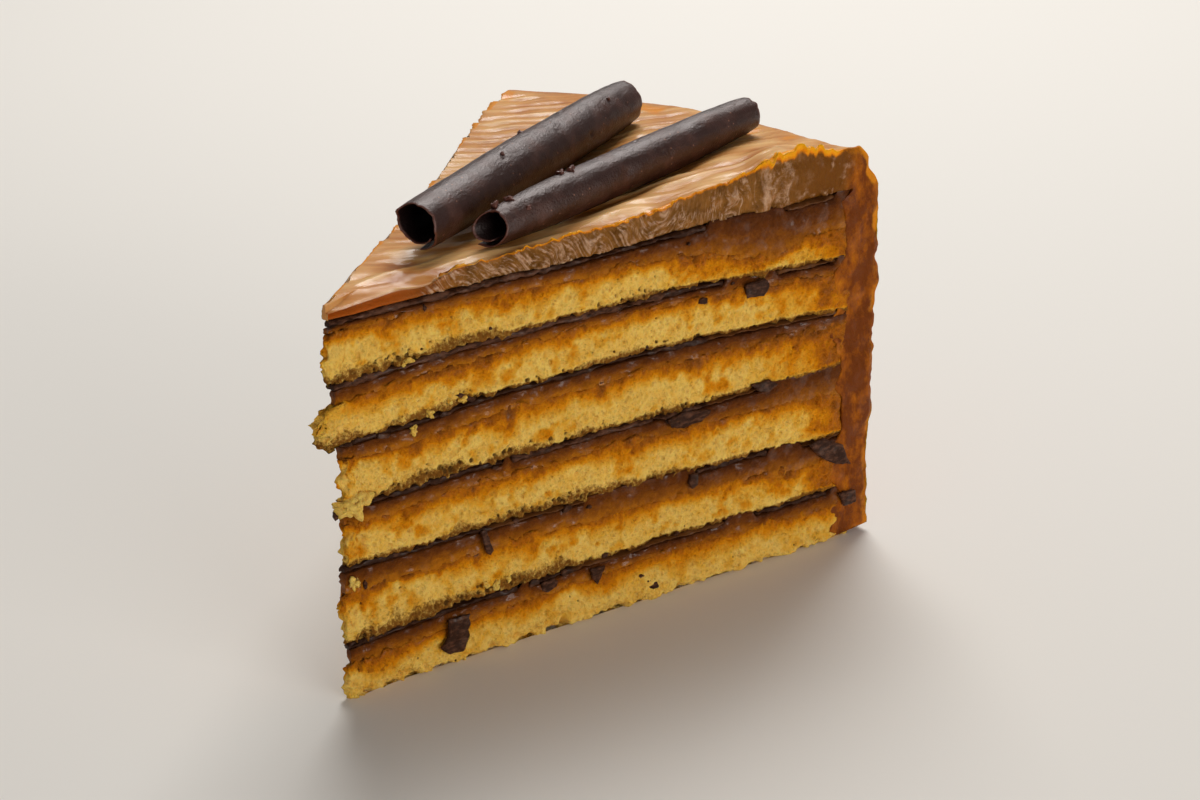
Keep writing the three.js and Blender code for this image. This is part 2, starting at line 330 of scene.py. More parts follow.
# %% [markdown]
# ## Blocks that bend
#
# Every layer is a closed block: a lattice of points on six sides, each moved to where it belongs. It could
# be modelled by hand and subdivided, but then its crumbs would have to be sculpted. A lattice keeps its
# columns in order, so a function can place all of them at once and knows for each one how far along,
# across and up it is.


# %% The lattice of a block's six sides
def block(along, across, up, coarse_below=1, coarse_lids=1):
    """Shares from 0 to 1 of each lattice point, and the faces. The underside can skip columns, and hidden
    lids can skip stations between their fine outer columns."""
    ids = -np.ones((along + 1, across + 1, up + 1), np.int64)
    i, j, k = np.meshgrid(*(range(n + 1) for n in (along, across, up)), indexing="ij")
    shell = (i % along == 0) | (j % across == 0) | (k % up == 0)
    ids[shell] = np.arange(shell.sum())
    shares = np.stack([i[shell] / along, j[shell] / across, k[shell] / up], -1)

    def sheet_of(grid, turned):
        corners = [grid[:-1, :-1], grid[1:, :-1], grid[1:, 1:], grid[:-1, 1:]]
        if turned:
            corners.reverse()
        return np.stack(corners, -1).reshape(-1, 4)

    quads = [sheet_of(ids[:, 0, :], False), sheet_of(ids[:, -1, :], True)]
    many = []
    if coarse_lids == 1:
        quads += [sheet_of(ids[:, :, -1], False), sheet_of(ids[:, ::coarse_below, 0], True)]
    else:
        stations = [*range(0, along, coarse_lids), along]
        for lid, turned in ((ids[:, :, -1], False), (ids[:, :, 0], True)):
            quads.append(sheet_of(lid[stations][:, 1:-1], turned))
            for start, end in zip(stations, stations[1:]):
                right = [*lid[start : end + 1, 0], lid[end, 1], lid[start, 1]]
                left = [lid[start, -2], lid[end, -2], *lid[start : end + 1, -1][::-1]]
                many += [right[::-1], left[::-1]] if turned else [right, left]
    for end, turned in ((0, True), (-1, False)):
        wall = ids[end]
        if coarse_below == 1:
            quads.append(sheet_of(wall, turned))
            continue
        quads.append(sheet_of(wall[:, 1:], turned))
        for left in range(0, across, coarse_below):
            right = left + coarse_below
            fan = [wall[left, 0], wall[right, 0], *wall[left : right + 1, 1][::-1]]
            many.append(fan[::-1] if turned else fan)
    return shares, np.vstack(quads), many


# %% From lattice points to a mesh
def body(points, quads, many=(), faceted=False, **values):
    """One closed body: its points in millimetres, its faces, and a number for each point by name."""
    points = np.asarray(points, float)
    return {"points": points, "quads": quads, "many": list(many), "faceted": faceted, "values": values}


def mesh_of(name, bodies):
    """Joins bodies to one smooth mesh, and drops the points that no face uses."""
    loops = []
    sizes = []
    smooth_faces = []
    first = 0
    for part in bodies:
        loops.append(part["quads"].ravel() + first)
        sizes.append(np.full(len(part["quads"]), 4))
        for corners in part["many"]:
            loops.append(np.array(corners) + first)
            sizes.append(np.array([len(corners)]))
        first += len(part["points"])
        smooth_faces.append(np.full(len(part["quads"]) + len(part["many"]), not part["faceted"]))
    loops = np.concatenate(loops)
    sizes = np.concatenate(sizes)
    used, loops = np.unique(loops, return_inverse=True)
    points = np.vstack([part["points"] for part in bodies])[used] * MM
    mesh = bpy.data.meshes.new(name)
    mesh.vertices.add(len(points))
    mesh.vertices.foreach_set("co", points.ravel())
    mesh.loops.add(len(loops))
    mesh.loops.foreach_set("vertex_index", loops.ravel())
    mesh.polygons.add(len(sizes))
    mesh.polygons.foreach_set("loop_start", np.concatenate([[0], np.cumsum(sizes)[:-1]]))
    mesh.polygons.foreach_set("use_smooth", np.concatenate(smooth_faces))
    mesh.update(calc_edges=True)
    for value in bodies[0]["values"]:
        full = [np.broadcast_to(part["values"][value], len(part["points"])) for part in bodies]
        attribute = mesh.attributes.new(value, "FLOAT", "POINT")
        attribute.data.foreach_set("value", np.concatenate(full)[used].astype(np.float32))
    return mesh


def piece(name, bodies, look, replaced=()):
    """A finished piece of the slice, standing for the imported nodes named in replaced."""
    mesh = mesh_of(name, bodies)
    mesh.materials.append(look)
    made = bpy.data.objects.new(name, mesh)
    bpy.context.scene.collection.objects.link(made)
    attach(made, "root")
    if replaced:
        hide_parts(*replaced)
    print(f"{name}: {len(mesh.polygons)} faces")
    return made


# %% [markdown]
# ## Materials as sums
#
# A food surface mixes many small effects, and as plain node wiring they are hard to read. The class below
# wraps a socket, so that `1 - mask` or `noise * 0.3 + soak` adds the nodes by itself. Numbers go through
# Math nodes. Colours and vectors go through Mix and Vector Math.


# %% A socket that can be added and multiplied
class Wire:
    """An output socket of a look's node tree, with the operators that the looks below use."""

    def __init__(self, look, socket):
        self.look = look
        self.socket = socket

    def _with(self, operation, first, second):
        if self.socket.type == "VALUE":
            return self.look.node("ShaderNodeMath", {"operation": operation}, {0: first, 1: second})
        return self.look.node("ShaderNodeVectorMath", {"operation": operation}, {0: first, 1: second})

    def __add__(self, other):
        return self._with("ADD", self, other)

    def __radd__(self, other):
        return self._with("ADD", other, self)

    def __sub__(self, other):
        return self._with("SUBTRACT", self, other)

    def __rsub__(self, other):
        return self._with("SUBTRACT", other, self)

    def __mul__(self, other):
        return self._with("MULTIPLY", self, other)

    def __rmul__(self, other):
        return self._with("MULTIPLY", other, self)


# %% Colours
def linear(red, green, blue):
    """A colour as a screen shows it, from 0 to 255, turned to the linear light that shaders take."""
    shown = np.array([red, green, blue]) / 255
    light = np.where(shown <= 0.04045, shown / 12.92, ((shown + 0.055) / 1.055) ** 2.4)
    return (*light.tolist(), 1.0)


# %% A look: one material and its nodes
class Look:
    """A material that is built from sums of wires."""

    def __init__(self, name):
        self.material = bpy.data.materials.new(name)
        self.material.use_nodes = True
        self.tree = self.material.node_tree
        self.shader = self.tree.nodes["Principled BSDF"]

    def node(self, kind, settings=None, inputs=None, output=0):
        """Adds a node: its settings come first, then the values or wires of its sockets."""
        added = self.tree.nodes.new(kind)
        for key, value in (settings or {}).items():
            if key == "stops":
                ramp = added.color_ramp.elements
                while len(ramp) < len(value):
                    ramp.new(0.5)
                for element, (position, colour) in zip(ramp, value):
                    element.position = position
                    element.color = colour
            else:
                setattr(added, key, value)
        for key, value in (inputs or {}).items():
            self.feed(added.inputs[key], value)
        return Wire(self, added.outputs[output])

    def feed(self, socket, value):
        if isinstance(value, Wire):
            self.tree.links.new(value.socket, socket)
        else:
            socket.default_value = value

    def set(self, **values):
        """Sets sockets of the shader, named with _ for each space."""
        for key, value in values.items():
            self.feed(self.shader.inputs[key.replace("_", " ")], value)

    def value(self, name):
        """A number that the mesh carries at each of its points."""
        return self.node("ShaderNodeAttribute", {"attribute_name": name}, output="Fac")

    def noise(self, size, detail=2.0, rough=0.5, stretch=(1, 1, 1)):
        """A noise from 0 to 1 whose waves are about size millimetres long."""
        places = self.node("ShaderNodeTexCoord", output="Object")
        scaled = self.node("ShaderNodeMapping", {}, {"Vector": places, "Scale": stretch})
        inputs = {"Vector": scaled, "Scale": 1 / (size * MM), "Detail": detail, "Roughness": rough}
        return self.node("ShaderNodeTexNoise", {}, inputs)

    def cells(self, size, random=1.0):
        """The distance to the nearest of many scattered points, as a share of size."""
        places = self.node("ShaderNodeTexCoord", output="Object")
        inputs = {"Vector": places, "Scale": 1 / (size * MM), "Randomness": random}
        return self.node("ShaderNodeTexVoronoi", {}, inputs, output="Distance")

    def step(self, value, low, high):
        """0 below low, 1 above high and smooth between them."""
        settings = {"interpolation_type": "SMOOTHSTEP"}
        return self.node("ShaderNodeMapRange", settings, {0: value, 1: low, 2: high})

    def ramp(self, value, stops):
        return self.node("ShaderNodeValToRGB", {"stops": stops}, {0: value})

    def mixed(self, share, first, second):
        """One colour laid over another by a share."""
        settings = {"data_type": "RGBA"}
        return self.node("ShaderNodeMix", settings, {0: share, 6: first, 7: second}, output=2)

    def bump(self, height, depth):
        """A normal from a height of 0 to 1, depth millimetres deep."""
        inputs = {"Height": height, "Distance": depth * MM, "Strength": 1.0}
        return self.node("ShaderNodeBump", {}, inputs)


# %% [markdown]
# ## Sponge
#
# The sponge is a fine yellow crumb. Each layer was brushed with syrup and spread with caramel, so its top
# is soaked: pale yellow below, then amber, then brown. One flat colour would look like plastic foam, and a
# texture picture would stretch. So the soak is worked out at each point of the mesh, where the height in
# the layer is known, and the material turns it to colour with fine noise on top.

# %% The look of the sponge
PALE_CRUMB = linear(252, 208, 106)
YELLOW_CRUMB = linear(240, 180, 62)
GOLDEN_SOAK = linear(226, 142, 6)
ORANGE_SOAK = linear(184, 104, 6)
BROWN_SOAK = linear(138, 76, 12)
DEEP_SOAK = linear(92, 48, 8)
OLIVE_STAIN = linear(132, 84, 26)
PORE_BROWN = linear(80, 52, 16)

crumb = Look("sponge crumb")
bubbles = crumb.cells(0.8)
small_bubbles = crumb.cells(0.42)
grains = crumb.noise(0.9, detail=5.0, rough=0.75)
foam = crumb.step(bubbles, 0.05, 0.6) * 0.6 + crumb.step(small_bubbles, 0.05, 0.6) * 0.4
patchy = crumb.noise(2.6, detail=4.0, rough=0.6) - 0.5
soak_level = crumb.value("soak") + patchy * 0.46 + (grains - 0.5) * 0.3
crumb_stops = [
    (0.0, PALE_CRUMB),
    (0.2, YELLOW_CRUMB),
    (0.46, GOLDEN_SOAK),
    (0.64, ORANGE_SOAK),
    (0.82, BROWN_SOAK),
    (1.0, DEEP_SOAK),
]
crumb_colour = crumb.ramp(soak_level, crumb_stops)
stained = crumb.step(crumb.value("stain") + (grains - 0.5) * 1.8 - foam * 0.2, 0.2, 0.9)
stained_colour = crumb.mixed(stained, crumb_colour, OLIVE_STAIN)
# Painted shade: the crumb is darker in the middle of each bubble and in its pits, on top of grains that vary
# at random.
shade = 0.69 + foam * 0.26 + grains * 0.24 - crumb.value("pit") * 0.2
dark_pores = crumb.step(crumb.value("pore") + (0.5 - foam) * 0.4, 0.25, 0.95)
crumb.set(
    Base_Color=crumb.mixed(dark_pores, stained_colour * shade, PORE_BROWN),
    Roughness=0.8 - crumb.step(soak_level, 0.4, 0.8) * 0.3,
    Normal=crumb.bump(foam * 0.6 + grains, 0.5),
    Coat_Weight=crumb.step(soak_level, 0.55, 0.9) * crumb.step(crumb.noise(2.2, detail=3.0), 0.5, 0.7) * 0.5,
    Coat_Roughness=0.2,
    Subsurface_Weight=0.2,
    Subsurface_Scale=0.0018,
    Subsurface_Radius=(1.0, 0.5, 0.15),
    Specular_IOR_Level=0.1,
)

# %% Steps of the layers' lattices
cell_length = 0.26
along_cells = round(sponge_radius / cell_length)
across_cells = 10
lid_steps = 8
print(along_cells, "cells from tip to rim")

# %% Columns that lie close together near both cut faces
face_band = 5.0
least_half_width = 0.3
crowding = 4


def spread_columns(distance, share):
    """Across shares: evenly spaced in a band at each face, and wide apart in the hidden middle."""
    half_width = np.maximum(distance * wedge_angle / 2, least_half_width)
    inwards = 1 - np.abs(2 * share - 1)
    band = np.minimum(half_width, face_band)
    depth = band * inwards + (half_width - band) * inwards**crowding
    right_side = depth / (2 * half_width)
    return np.where(share <= 0.5, right_side, 1 - right_side)


# %% The blunt tip of a layer
first_station = sponge_radius / 24
nose_half = 0.6
knob_widening = 0.25
bluntness = 0.8


def smooth_start(share):
    """Rises fast at first, which makes the tip blunt."""
    return np.clip(share, 0, 1) ** bluntness


def in_wedge(distance, across, tip_at):
    """Plan points of a layer: past the first station on the cuts, before it drawn to the tip."""
    far = on_plan(np.maximum(distance, first_station), across)
    knob = np.maximum(0, -tip_at)
    half = nose_half + knob_widening * knob
    nose = np.stack([tip[0] + 2 * half * (0.5 - across), tip[1] + tip_at], -1)
    share = smooth_start(distance / first_station)[:, None]
    return nose * (1 - share) + far * share


# %% Where the noise fields are read on a cut face
# The two faces, and the layers, read parts of a field that lie this far apart.
farther = 300.0
next_layer = 17.0


def face_places(distance, height, across, layer):
    """Places for the noise fields: distance from the tip, height, and the layer's own plane."""
    return np.stack([distance + farther * (across > 0.5), height, 0 * height + next_layer * layer], -1)


def ragged_end(distance, height, across, amount):
    """How far a layer's end reaches into the rim's coat at a cut face, in millimetres."""
    share = rising(distance / sponge_radius, start=0.93, length=0.07)
    along_height = np.stack([0 * height + farther * (across > 0.5), height, 0 * height], -1)
    return share * amount * (0.4 + uneven(along_height, size=3.4, seed=33, octaves=3))


# %% The relief of cut crumb
def crumb_relief(places):
    """Slow waves, crumbs, pores and a few tears, in millimetres; and how deep its pits are, for the painted
    shade in them.
    """
    wave_depth = 0.26
    crumb_depth = 0.26
    fine_crumb_depth = 0.2
    pore_depth = 0.3
    tear_depth = 0.6
    proud = 0.1
    waves = wave_depth * uneven(places, size=6.0, seed=11, octaves=2)
    crumbs = crumb_depth * uneven(places, size=1.5, seed=13, octaves=3)
    crumbs = crumbs + fine_crumb_depth * uneven(places, size=0.7, seed=14)
    fine_pores = pores(places, size=1.1, seed=17, share=0.7, smallest=0.22, largest=0.5)
    tears = pores(places, size=3.0, seed=23, share=0.2, smallest=0.2, largest=0.46)
    pit = 0.4 * fine_pores + 0.6 * tears - 0.8 * crumbs
    return waves + crumbs - pore_depth * fine_pores - tear_depth * tears + proud, pit


def level_to_rim(relief, distance, level=-0.08):
    """Near the rim every layer's relief flattens out and dips under the rim's coat."""
    dip = 0.7
    share = rising(distance / sponge_radius, start=0.95, length=0.035)
    end = rising(distance / sponge_radius, start=0.982, length=0.018)
    return relief * (1 - share) + level * share - dip * end


# %% Ragged edges of a sponge
def edge_crumbs(n, up, places):
    """Crumbs that stand up into the caramel above, less those that hang down over the sheet below."""
    hanging = np.clip(0.25 + 0.75 * uneven(places, size=1.7, seed=5, octaves=3), 0, 1.1)
    hanging = hanging * fading(up, 0.1) * (n > 1)
    standing = np.clip(0.45 + 1.0 * uneven(places, size=2.6, seed=6, octaves=3), 0, 1.6)
    standing = standing * fading(1 - up, 0.14)
    return standing - hanging


def edge_dive(n, up):
    """How far the upper and the lower edge of a sponge turn in under what lies on and below it."""
    return 0.3 * fading(1 - up, 0.06) + 0.2 * fading(up, 0.05) ** 2 * (n > 1)


# %% The worn foot of the lowest sponge
broken_out = (0.31, 0.415)


def worn_foot(distance, height, across, places):
    """How far the foot is worn back, in millimetres: in patches, and where a piece broke out."""
    along_only = squeezed(places, second=0)
    reach = 0.5 + 1.8 * rising(uneven(along_only, size=6.0, seed=29, octaves=2), start=0.1, length=0.6)
    reach = reach + 1.6 * within([broken_out], distance / sponge_radius, 0.02) * (across < 0.5)
    reach = reach + 0.7 * uneven(along_only, size=1.7, seed=30, octaves=2)
    worn = np.clip(1 - height / np.maximum(reach, 0.1), 0, 1)
    deepest = 2.4
    return deepest * worn * (0.7 + 0.5 * uneven(places, size=1.4, seed=31, octaves=2))


# %% The torn tip of a sponge
knob_from = -2
torn_ways = np.array([0.7, 1.0, 0.3])


def torn_profile(tip_at, height, up):
    """The tip's place at each height: where it stands out, it is torn to fingers."""
    by_height = np.column_stack([0 * up, height, 0 * up])
    torn_off = 0.45 * uneven(by_height, size=2.0, seed=39, octaves=2)
    torn_off = torn_off + 0.75 * rising(up, start=0.7, length=0.22)
    return tip_at + np.maximum(0, -tip_at) * torn_off


def torn_tip(points, distance, stands_out):
    """The tip is broken rather than cut, so its crumbs go every way."""
    at_tip = bell(distance, 2.8)[:, None] * (1.7 if stands_out else 1.0)
    turns = every_way(points, size=2.2, seed=37, octaves=3)
    finer_turns = every_way(points, size=1.1, seed=33, octaves=2)
    return points + at_tip * (turns + 0.5 * finer_turns) * torn_ways


# %% The body of a sponge
sponge_rows = 32
into_rim = 1.6
spot_depth = 0.4


def at_faces(shares):
    """Which lattice points lie on one of the two cut faces."""
    return (shares[:, 1] == 0) | (shares[:, 1] == 1)


def lattice_of(node, rows):
    """The block of a layer: distance, across and up of each point, its faces and its two heights."""
    shares, quads, many = block(along_cells, across_cells, rows, coarse_lids=lid_steps)
    distance = shares[:, 0] * sponge_radius
    across = spread_columns(distance, shares[:, 1])
    low = undersides[node](distance, across)
    high = tops[node](distance, across)
    return shares, quads, many, distance, across, shares[:, 2], low, high


def sponge_body(n):
    """Sponge n, counted from below."""
    node = f"sponge_{n}"
    shares, quads, many, distance, across, up, low, high = lattice_of(node, sponge_rows)
    on_face = at_faces(shares)
    height = low + (high - low) * up
    tip_at = torn_profile(tips[node](up), height, up)
    past = ragged_end(distance, height, across, into_rim)
    flat = in_wedge(distance + on_face * past, across, tip_at)
    places = face_places(distance, height, across, n)
    height = height + on_face * edge_crumbs(n, up, places)
    skin, pit = crumb_relief(places)
    soak, stain, spots = soaking(n, distance, up, height - low, places)
    relief = level_to_rim(skin - spot_depth * spots - edge_dive(n, up), distance)
    if n == 1:
        relief = relief - worn_foot(distance, height, across, places)
    points = np.column_stack([flat, height]) + outwards(across) * (on_face * relief)[:, None]
    points = torn_tip(points, distance, tips[node](half_way_up) < knob_from)
    # The pits' depth goes to the look as painted shade.
    return body(points, quads, many, soak=soak, stain=stain, pore=spots, pit=pit)


# %% A loose crumb
crumb_cells = 6


def loose_crumb(place, size, seed, **values):
    """A small ragged crumb: a rounded block whose points go every way."""
    shares, quads, _ = block(crumb_cells, crumb_cells, crumb_cells)
    way = shares * 2 - 1
    way = way / np.linalg.norm(way, axis=1)[:, None]
    own_part = way + 5.0 * seed
    lumps = 1 + 0.6 * uneven(own_part, size=1.1, seed=225, octaves=2)
    lumps = lumps + 0.4 * uneven(own_part, size=0.5, seed=226)
    stretch = 0.8 + 0.6 * draw(np.array([[seed, k, 3] for k in range(3)]), 227)
    points = np.array(place) + way * (size / 2 * lumps)[:, None] * stretch
    return body(points, quads, **values)


# %% Pale crumbs that fell on the right cut
# Distance from the tip, height and size, for each sponge they came from.
fallen = {
    1: [],
    2: [(2.0, 22.5, 2.1), (3.2, 21.9, 1.3), (30.5, 13.5, 1.3), (33.0, 14.0, 0.9), (28.4, 14.2, 0.8)],
    3: [(1.4, 37.0, 2.8), (3.4, 36.9, 2.7), (4.9, 37.3, 2.0), (2.4, 36.0, 1.7)],
    4: [(76.0, 38.2, 0.9)],
    5: [(15.4, 47.9, 1.3), (18.6, 50.2, 1.4), (22.5, 51.2, 1.0), (13.4, 50.4, 1.1), (25.0, 51.0, 1.1)],
    6: [(15.0, 60.8, 1.0), (14.2, 60.3, 0.7)],
}
before_face = 0.1
crumb_seeds = 10
right_cut = np.array([0.0])
dry = dict(soak=0.04, stain=0.0, pore=0.0, pit=0.0)


def fallen_crumbs(n):
    """The crumbs of sponge n that lie on the right cut."""
    crumbs = []
    for number, (distance, height, size) in enumerate(fallen[n]):
        flat = on_plan(np.array([distance]), right_cut) + outwards(right_cut)[:, :2] * before_face
        crumbs.append(loose_crumb((*flat[0], height), size, crumb_seeds * n + number, **dry))
    return crumbs


# %% How deep the syrup has soaked
# For each layer: how much of it is soaked near the rim, and where the rim's soak starts.
rim_soak = {1: (0.1, 0.97), 2: (0.3, 0.9), 3: (0.42, 0.86), 4: (0.44, 0.72), 5: (0.34, 0.76), 6: (0.4, 0.8)}
# Chocolate that stained a layer from below: from and to in shares of the radius, and how high it rose.
rises = {
    2: [(0.02, 0.42, 3.6)],
    3: [(0.0, 0.03, 1.5), (0.2, 0.66, 1.8)],
    4: [(0.08, 0.5, 2.4), (0.56, 0.64, 1.4)],
    5: [(0.0, 0.06, 2.4), (0.1, 0.26, 2.2), (0.45, 0.6, 1.2)],
    6: [(0.0, 0.36, 2.2), (0.5, 0.6, 1.2)],
}
# Caramel that the knife pulled down over a layer: from and to, and how deep.
pulls = {1: [(0.03, 0.09, 0.5)], 2: [(0.84, 0.9, 0.55)], 4: [(0.28, 0.33, 0.3)], 6: [(0.66, 0.84, 1.0)]}
dry_soak = 0.06
top_soak = 0.68


def soak_from_top(n, share, up, places, slow, columns):
    """The soak, from 0 for dry pale crumb to 1 for crumb full of caramel."""
    amount, begin = rim_soak[n]
    towards_rim = amount * smooth((share - begin) / (1.02 - begin))
    start = 0.58 + 0.18 * slow + 0.2 * columns - 0.3 * towards_rim
    for first, last, depth in pulls.get(n, []):
        start = start - depth * within([(first, last)], share, 0.05) * (places[:, 0] < farther)
    from_top = np.clip((up - start) / np.maximum(1 - start, 0.15), 0, 1)
    blotch = 0.6 * uneven(squeezed(places, second=0.75), size=3.8, seed=43, octaves=3)
    blotch = blotch + 0.6 * uneven(places, size=1.9, seed=44, octaves=3)
    blotch = rising(blotch, start=-0.08, length=0.8) * (0.4 if n > 1 else 0.14) * smooth(up / 0.25)
    soak = dry_soak + top_soak * from_top**1.15 + blotch * (1 - 0.7 * from_top)
    return soak + towards_rim * np.clip(1 - 0.9 * soak, 0.1, 1)


def stain_from_sheet(n, share, above_sheet, slow, columns):
    """What rose from the sheet below, and the spans in which it did."""
    risen = 0.7 + 0.5 * slow
    spread = np.zeros_like(share)
    for first, last, depth in rises.get(n, []):
        inside = within([(first, last)], share, 0.06)
        spread = np.maximum(spread, inside)
        risen = risen + 1.3 * depth * inside * (0.75 + 0.5 * slow + 0.35 * columns)
    return smooth(1.15 - above_sheet / np.maximum(risen, 0.2)) * (n > 1), spread


def dark_spots(n, share, up, above_sheet, places, spread):
    """Pores that filled with dark syrup, most of them just over the sheet."""
    near_sheet = smooth(1.3 - above_sheet / (1.1 + 1.5 * spread)) * (n > 1)
    fewer = 0.75 * rising(share, start=0.66, length=0.1) * (places[:, 0] < farther)
    near_sheet = near_sheet * (1 - fewer)
    dense = pores(places, size=1.15, seed=47, share=0.85, smallest=0.36, largest=0.66)
    rare = pores(places, size=2.4, seed=53, share=0.3, smallest=0.14, largest=0.22)
    patches = smooth(0.55 + uneven(squeezed(places, first=0.5), size=7.0, seed=59))
    return np.clip(1.5 * dense * near_sheet * (0.25 + 0.9 * patches) + rare * (up < 0.85), 0, 1)


# %% The soak, the stain and the dark pores together, and the sponges
end_soak = 0.7
knob_layer = 5


def soaking(n, distance, up, above_sheet, places):
    """The soak, the stain and the dark pores at each point of a sponge, each from 0 to 1."""
    share = distance / sponge_radius
    slow = uneven(squeezed(places, first=0.6), size=5.5, seed=41, octaves=2)
    columns = uneven(squeezed(places, second=0.35), size=2.6, seed=42, octaves=3)
    soak = soak_from_top(n, share, up, places, slow, columns)
    # The last millimetres before the rim take its colour.
    at_end = smooth((share - 0.9 + 0.03 * slow - 0.06 * (n == 1)) / 0.08)
    soak = soak + (end_soak - soak) * at_end
    soak = soak * (1 - 0.6 * bell(distance, 3.5) * (n == knob_layer))
    stain, spread = stain_from_sheet(n, share, above_sheet, slow, columns)
    soak = soak * (1 - 0.5 * stain * (up < half_way_up))
    return soak, stain, dark_spots(n, share, up, above_sheet, places, spread)


for n in layers:
    bodies = [sponge_body(n), *fallen_crumbs(n)]
    piece(f"crumb_{n}", bodies, crumb.material, [f"sponge_{n}"])

# %% [markdown]
# ## Caramel
#
# Between each sponge and its chocolate sheet lies brown caramel. The knife pulled it down over the crumb
# below, so its lower edge is a thin film with drips. A fluid simulation could pour it, but a lattice with a
# film that dips into the crumb gives the same fuzzy, patchy edge and always comes out the same. Where the
# sheet is missing, the caramel fills its place up to the next sponge.

# %% The look of the caramel
CARAMEL_AMBER = linear(196, 118, 14)
CARAMEL_THIN = linear(156, 88, 10)
CARAMEL = linear(116, 59, 8)
CARAMEL_THICK = linear(82, 38, 6)

filling = Look("soft caramel")
streaks = filling.noise(3.0, detail=6.0, rough=0.7, stretch=(1, 1, 2.0))
grain = filling.noise(0.7, detail=3.0, rough=0.7)
depth_of_colour = (streaks - 0.5) * 0.9 + (grain - 0.5) * 0.4 + filling.value("rise")
caramel_stops = [(0.0, CARAMEL_AMBER), (0.28, CARAMEL_THIN), (0.62, CARAMEL), (1.0, CARAMEL_THICK)]
wet = filling.step(filling.noise(2.6, detail=3.0), 0.48, 0.66)
filling.set(
    Base_Color=filling.ramp(depth_of_colour, caramel_stops),
    Roughness=0.5,
    Normal=filling.bump(filling.noise(1.1, detail=6.0, rough=0.75), 0.7),
    Coat_Weight=wet * 0.55,
    Coat_Roughness=0.16,
    Subsurface_Weight=0.1,
    Subsurface_Scale=0.0012,
    Subsurface_Radius=(1.0, 0.4, 0.1),
    Specular_IOR_Level=0.12,
)

# %% Where the chocolate sheets are broken away at the right cut face
# From and to, in shares of the radius, for each layer.
absent = {
    1: [(0.325, 0.344), (0.74, 0.80), (0.965, 1.1)],
    2: [(0.455, 0.675), (0.83, 0.90)],
    3: [(0.303, 0.315), (0.835, 1.1)],
    4: [(0.985, 1.1)],
    5: [(0.735, 0.84), (0.968, 1.1)],
    6: [(0.70, 0.857), (0.962, 1.1)],
}
# Where the knife smeared the sheet's edge broader.
smeared = {1: [(0.44, 0.56)], 3: [(0.31, 0.69)], 5: [(0.0, 0.62)], 6: [(0.0, 0.4), (0.86, 0.95)]}
# Where the edge is thin and half sunk in the caramel.
sunk = {
    1: [(0.43, 0.75)],
    2: [(0.27, 0.46), (0.9, 1.1)],
    3: [(0.7, 0.84)],
    4: [(0.7, 1.1)],
    5: [(0.84, 1.1)],
    6: [(0.84, 1.1)],
}


def missing(n, distance, across):
    """How much of the sheet is broken away at a cut face."""
    right = within(absent[n], distance / sponge_radius, 0.012)
    own_line = np.stack([distance, 0 * distance + 70.0 * n, 0 * distance], -1)
    left = rising(uneven(own_line, size=13.0, seed=61, octaves=2), start=0.42, length=0.12)
    return np.where(across < 0.5, right, left)


# %% The drips of a filling
# Longer drips at the right cut: from and to in shares of the radius, and their length in millimetres.
long_drips = {1: [(0.02, 0.08, 3.6)], 2: [(0.82, 0.87, 1.5)], 5: [(0.66, 0.7, 1.0)], 6: [(0.7, 0.78, 1.2)]}


def drip_lengths(n, distance, across):
    """How far the caramel hangs down over the sponge below, in millimetres."""
    along_only = face_places(distance, 0 * distance, across, n)
    drips = 0.3 + 0.9 * smooth(0.3 + uneven(along_only, size=3.4, seed=67, octaves=3))
    drips = drips + 1.2 * rising(uneven(along_only, size=9.0, seed=71, octaves=2), start=0.4, length=0.4)
    for first, last, depth in long_drips.get(n, []):
        drips = drips + depth * within([(first, last)], distance / sponge_radius, 0.03) * (across < 0.5)
    return drips


def filling_relief(distance, up, places, film, gone):
    """A soft belly above; below it a film that lies on the crumb and follows it."""
    bulge = 0.3 * uneven(places, size=3.4, seed=73, octaves=3)
    bulge = bulge + 0.16 * uneven(squeezed(places, second=1.8), size=1.0, seed=79, octaves=2)
    belly = 0.2 * np.sin(np.pi * np.clip((up - 0.3) / 0.7, 0, 1))
    skin, _ = crumb_relief(places)
    relief = (bulge + belly - 0.2) * (1 - film) + (skin - 0.04) * film + 0.1 * gone
    # The film's last row dips into the crumb.
    relief = relief - 0.3 * np.clip((film - 0.79) / 0.21, 0, 1)
    return level_to_rim(relief, distance)


# %% The body of a filling
filling_rows = 14
film_share = 0.34
filling_into_rim = 0.8
over_next = 0.3
soft_ways = np.array([0.4, 0.5, 0.1])


def filling_body(n):
    """The caramel on sponge n."""
    node = f"caramel_{n}"
    shares, quads, many, distance, across, up, low, high = lattice_of(node, filling_rows)
    on_face = at_faces(shares)
    gone = missing(n, distance, across)
    above = undersides[f"sponge_{n + 1}" if n < len(layers) else "frosting"](distance, across)
    high = high + (above - high + over_next) * gone * on_face
    drips = drip_lengths(n, distance, across)
    film = fading(up, film_share) * on_face
    height = low + (high - low) * up - drips * film**1.3
    past = ragged_end(distance, height, across, filling_into_rim)
    flat = in_wedge(distance + on_face * past, across, tips[node](up))
    places = face_places(distance, height, across, n)
    relief = filling_relief(distance, up, places, film, gone)
    points = np.column_stack([flat, height]) + outwards(across) * (on_face * relief)[:, None]
    at_tip = bell(distance, 2.0)[:, None]
    points = points + at_tip * every_way(points, size=2.2, seed=83, octaves=2) * soft_ways
    # The number that the look turns to colour: low in the thin film, and deeper towards the rim.
    lowest = 0.32 * smooth(drips / 2.0)
    rise = np.clip((up - film_share) / 0.66, 0, 1) * 0.55 + 0.3 - (0.3 + lowest) * film
    rise = rise + 0.16 * rising(distance / sponge_radius, start=0.42, length=0.3)
    return body(points, quads, many, rise=rise)


for n in layers:
    piece(f"filling_{n}", [filling_body(n)], filling.material, [f"caramel_{n}"])

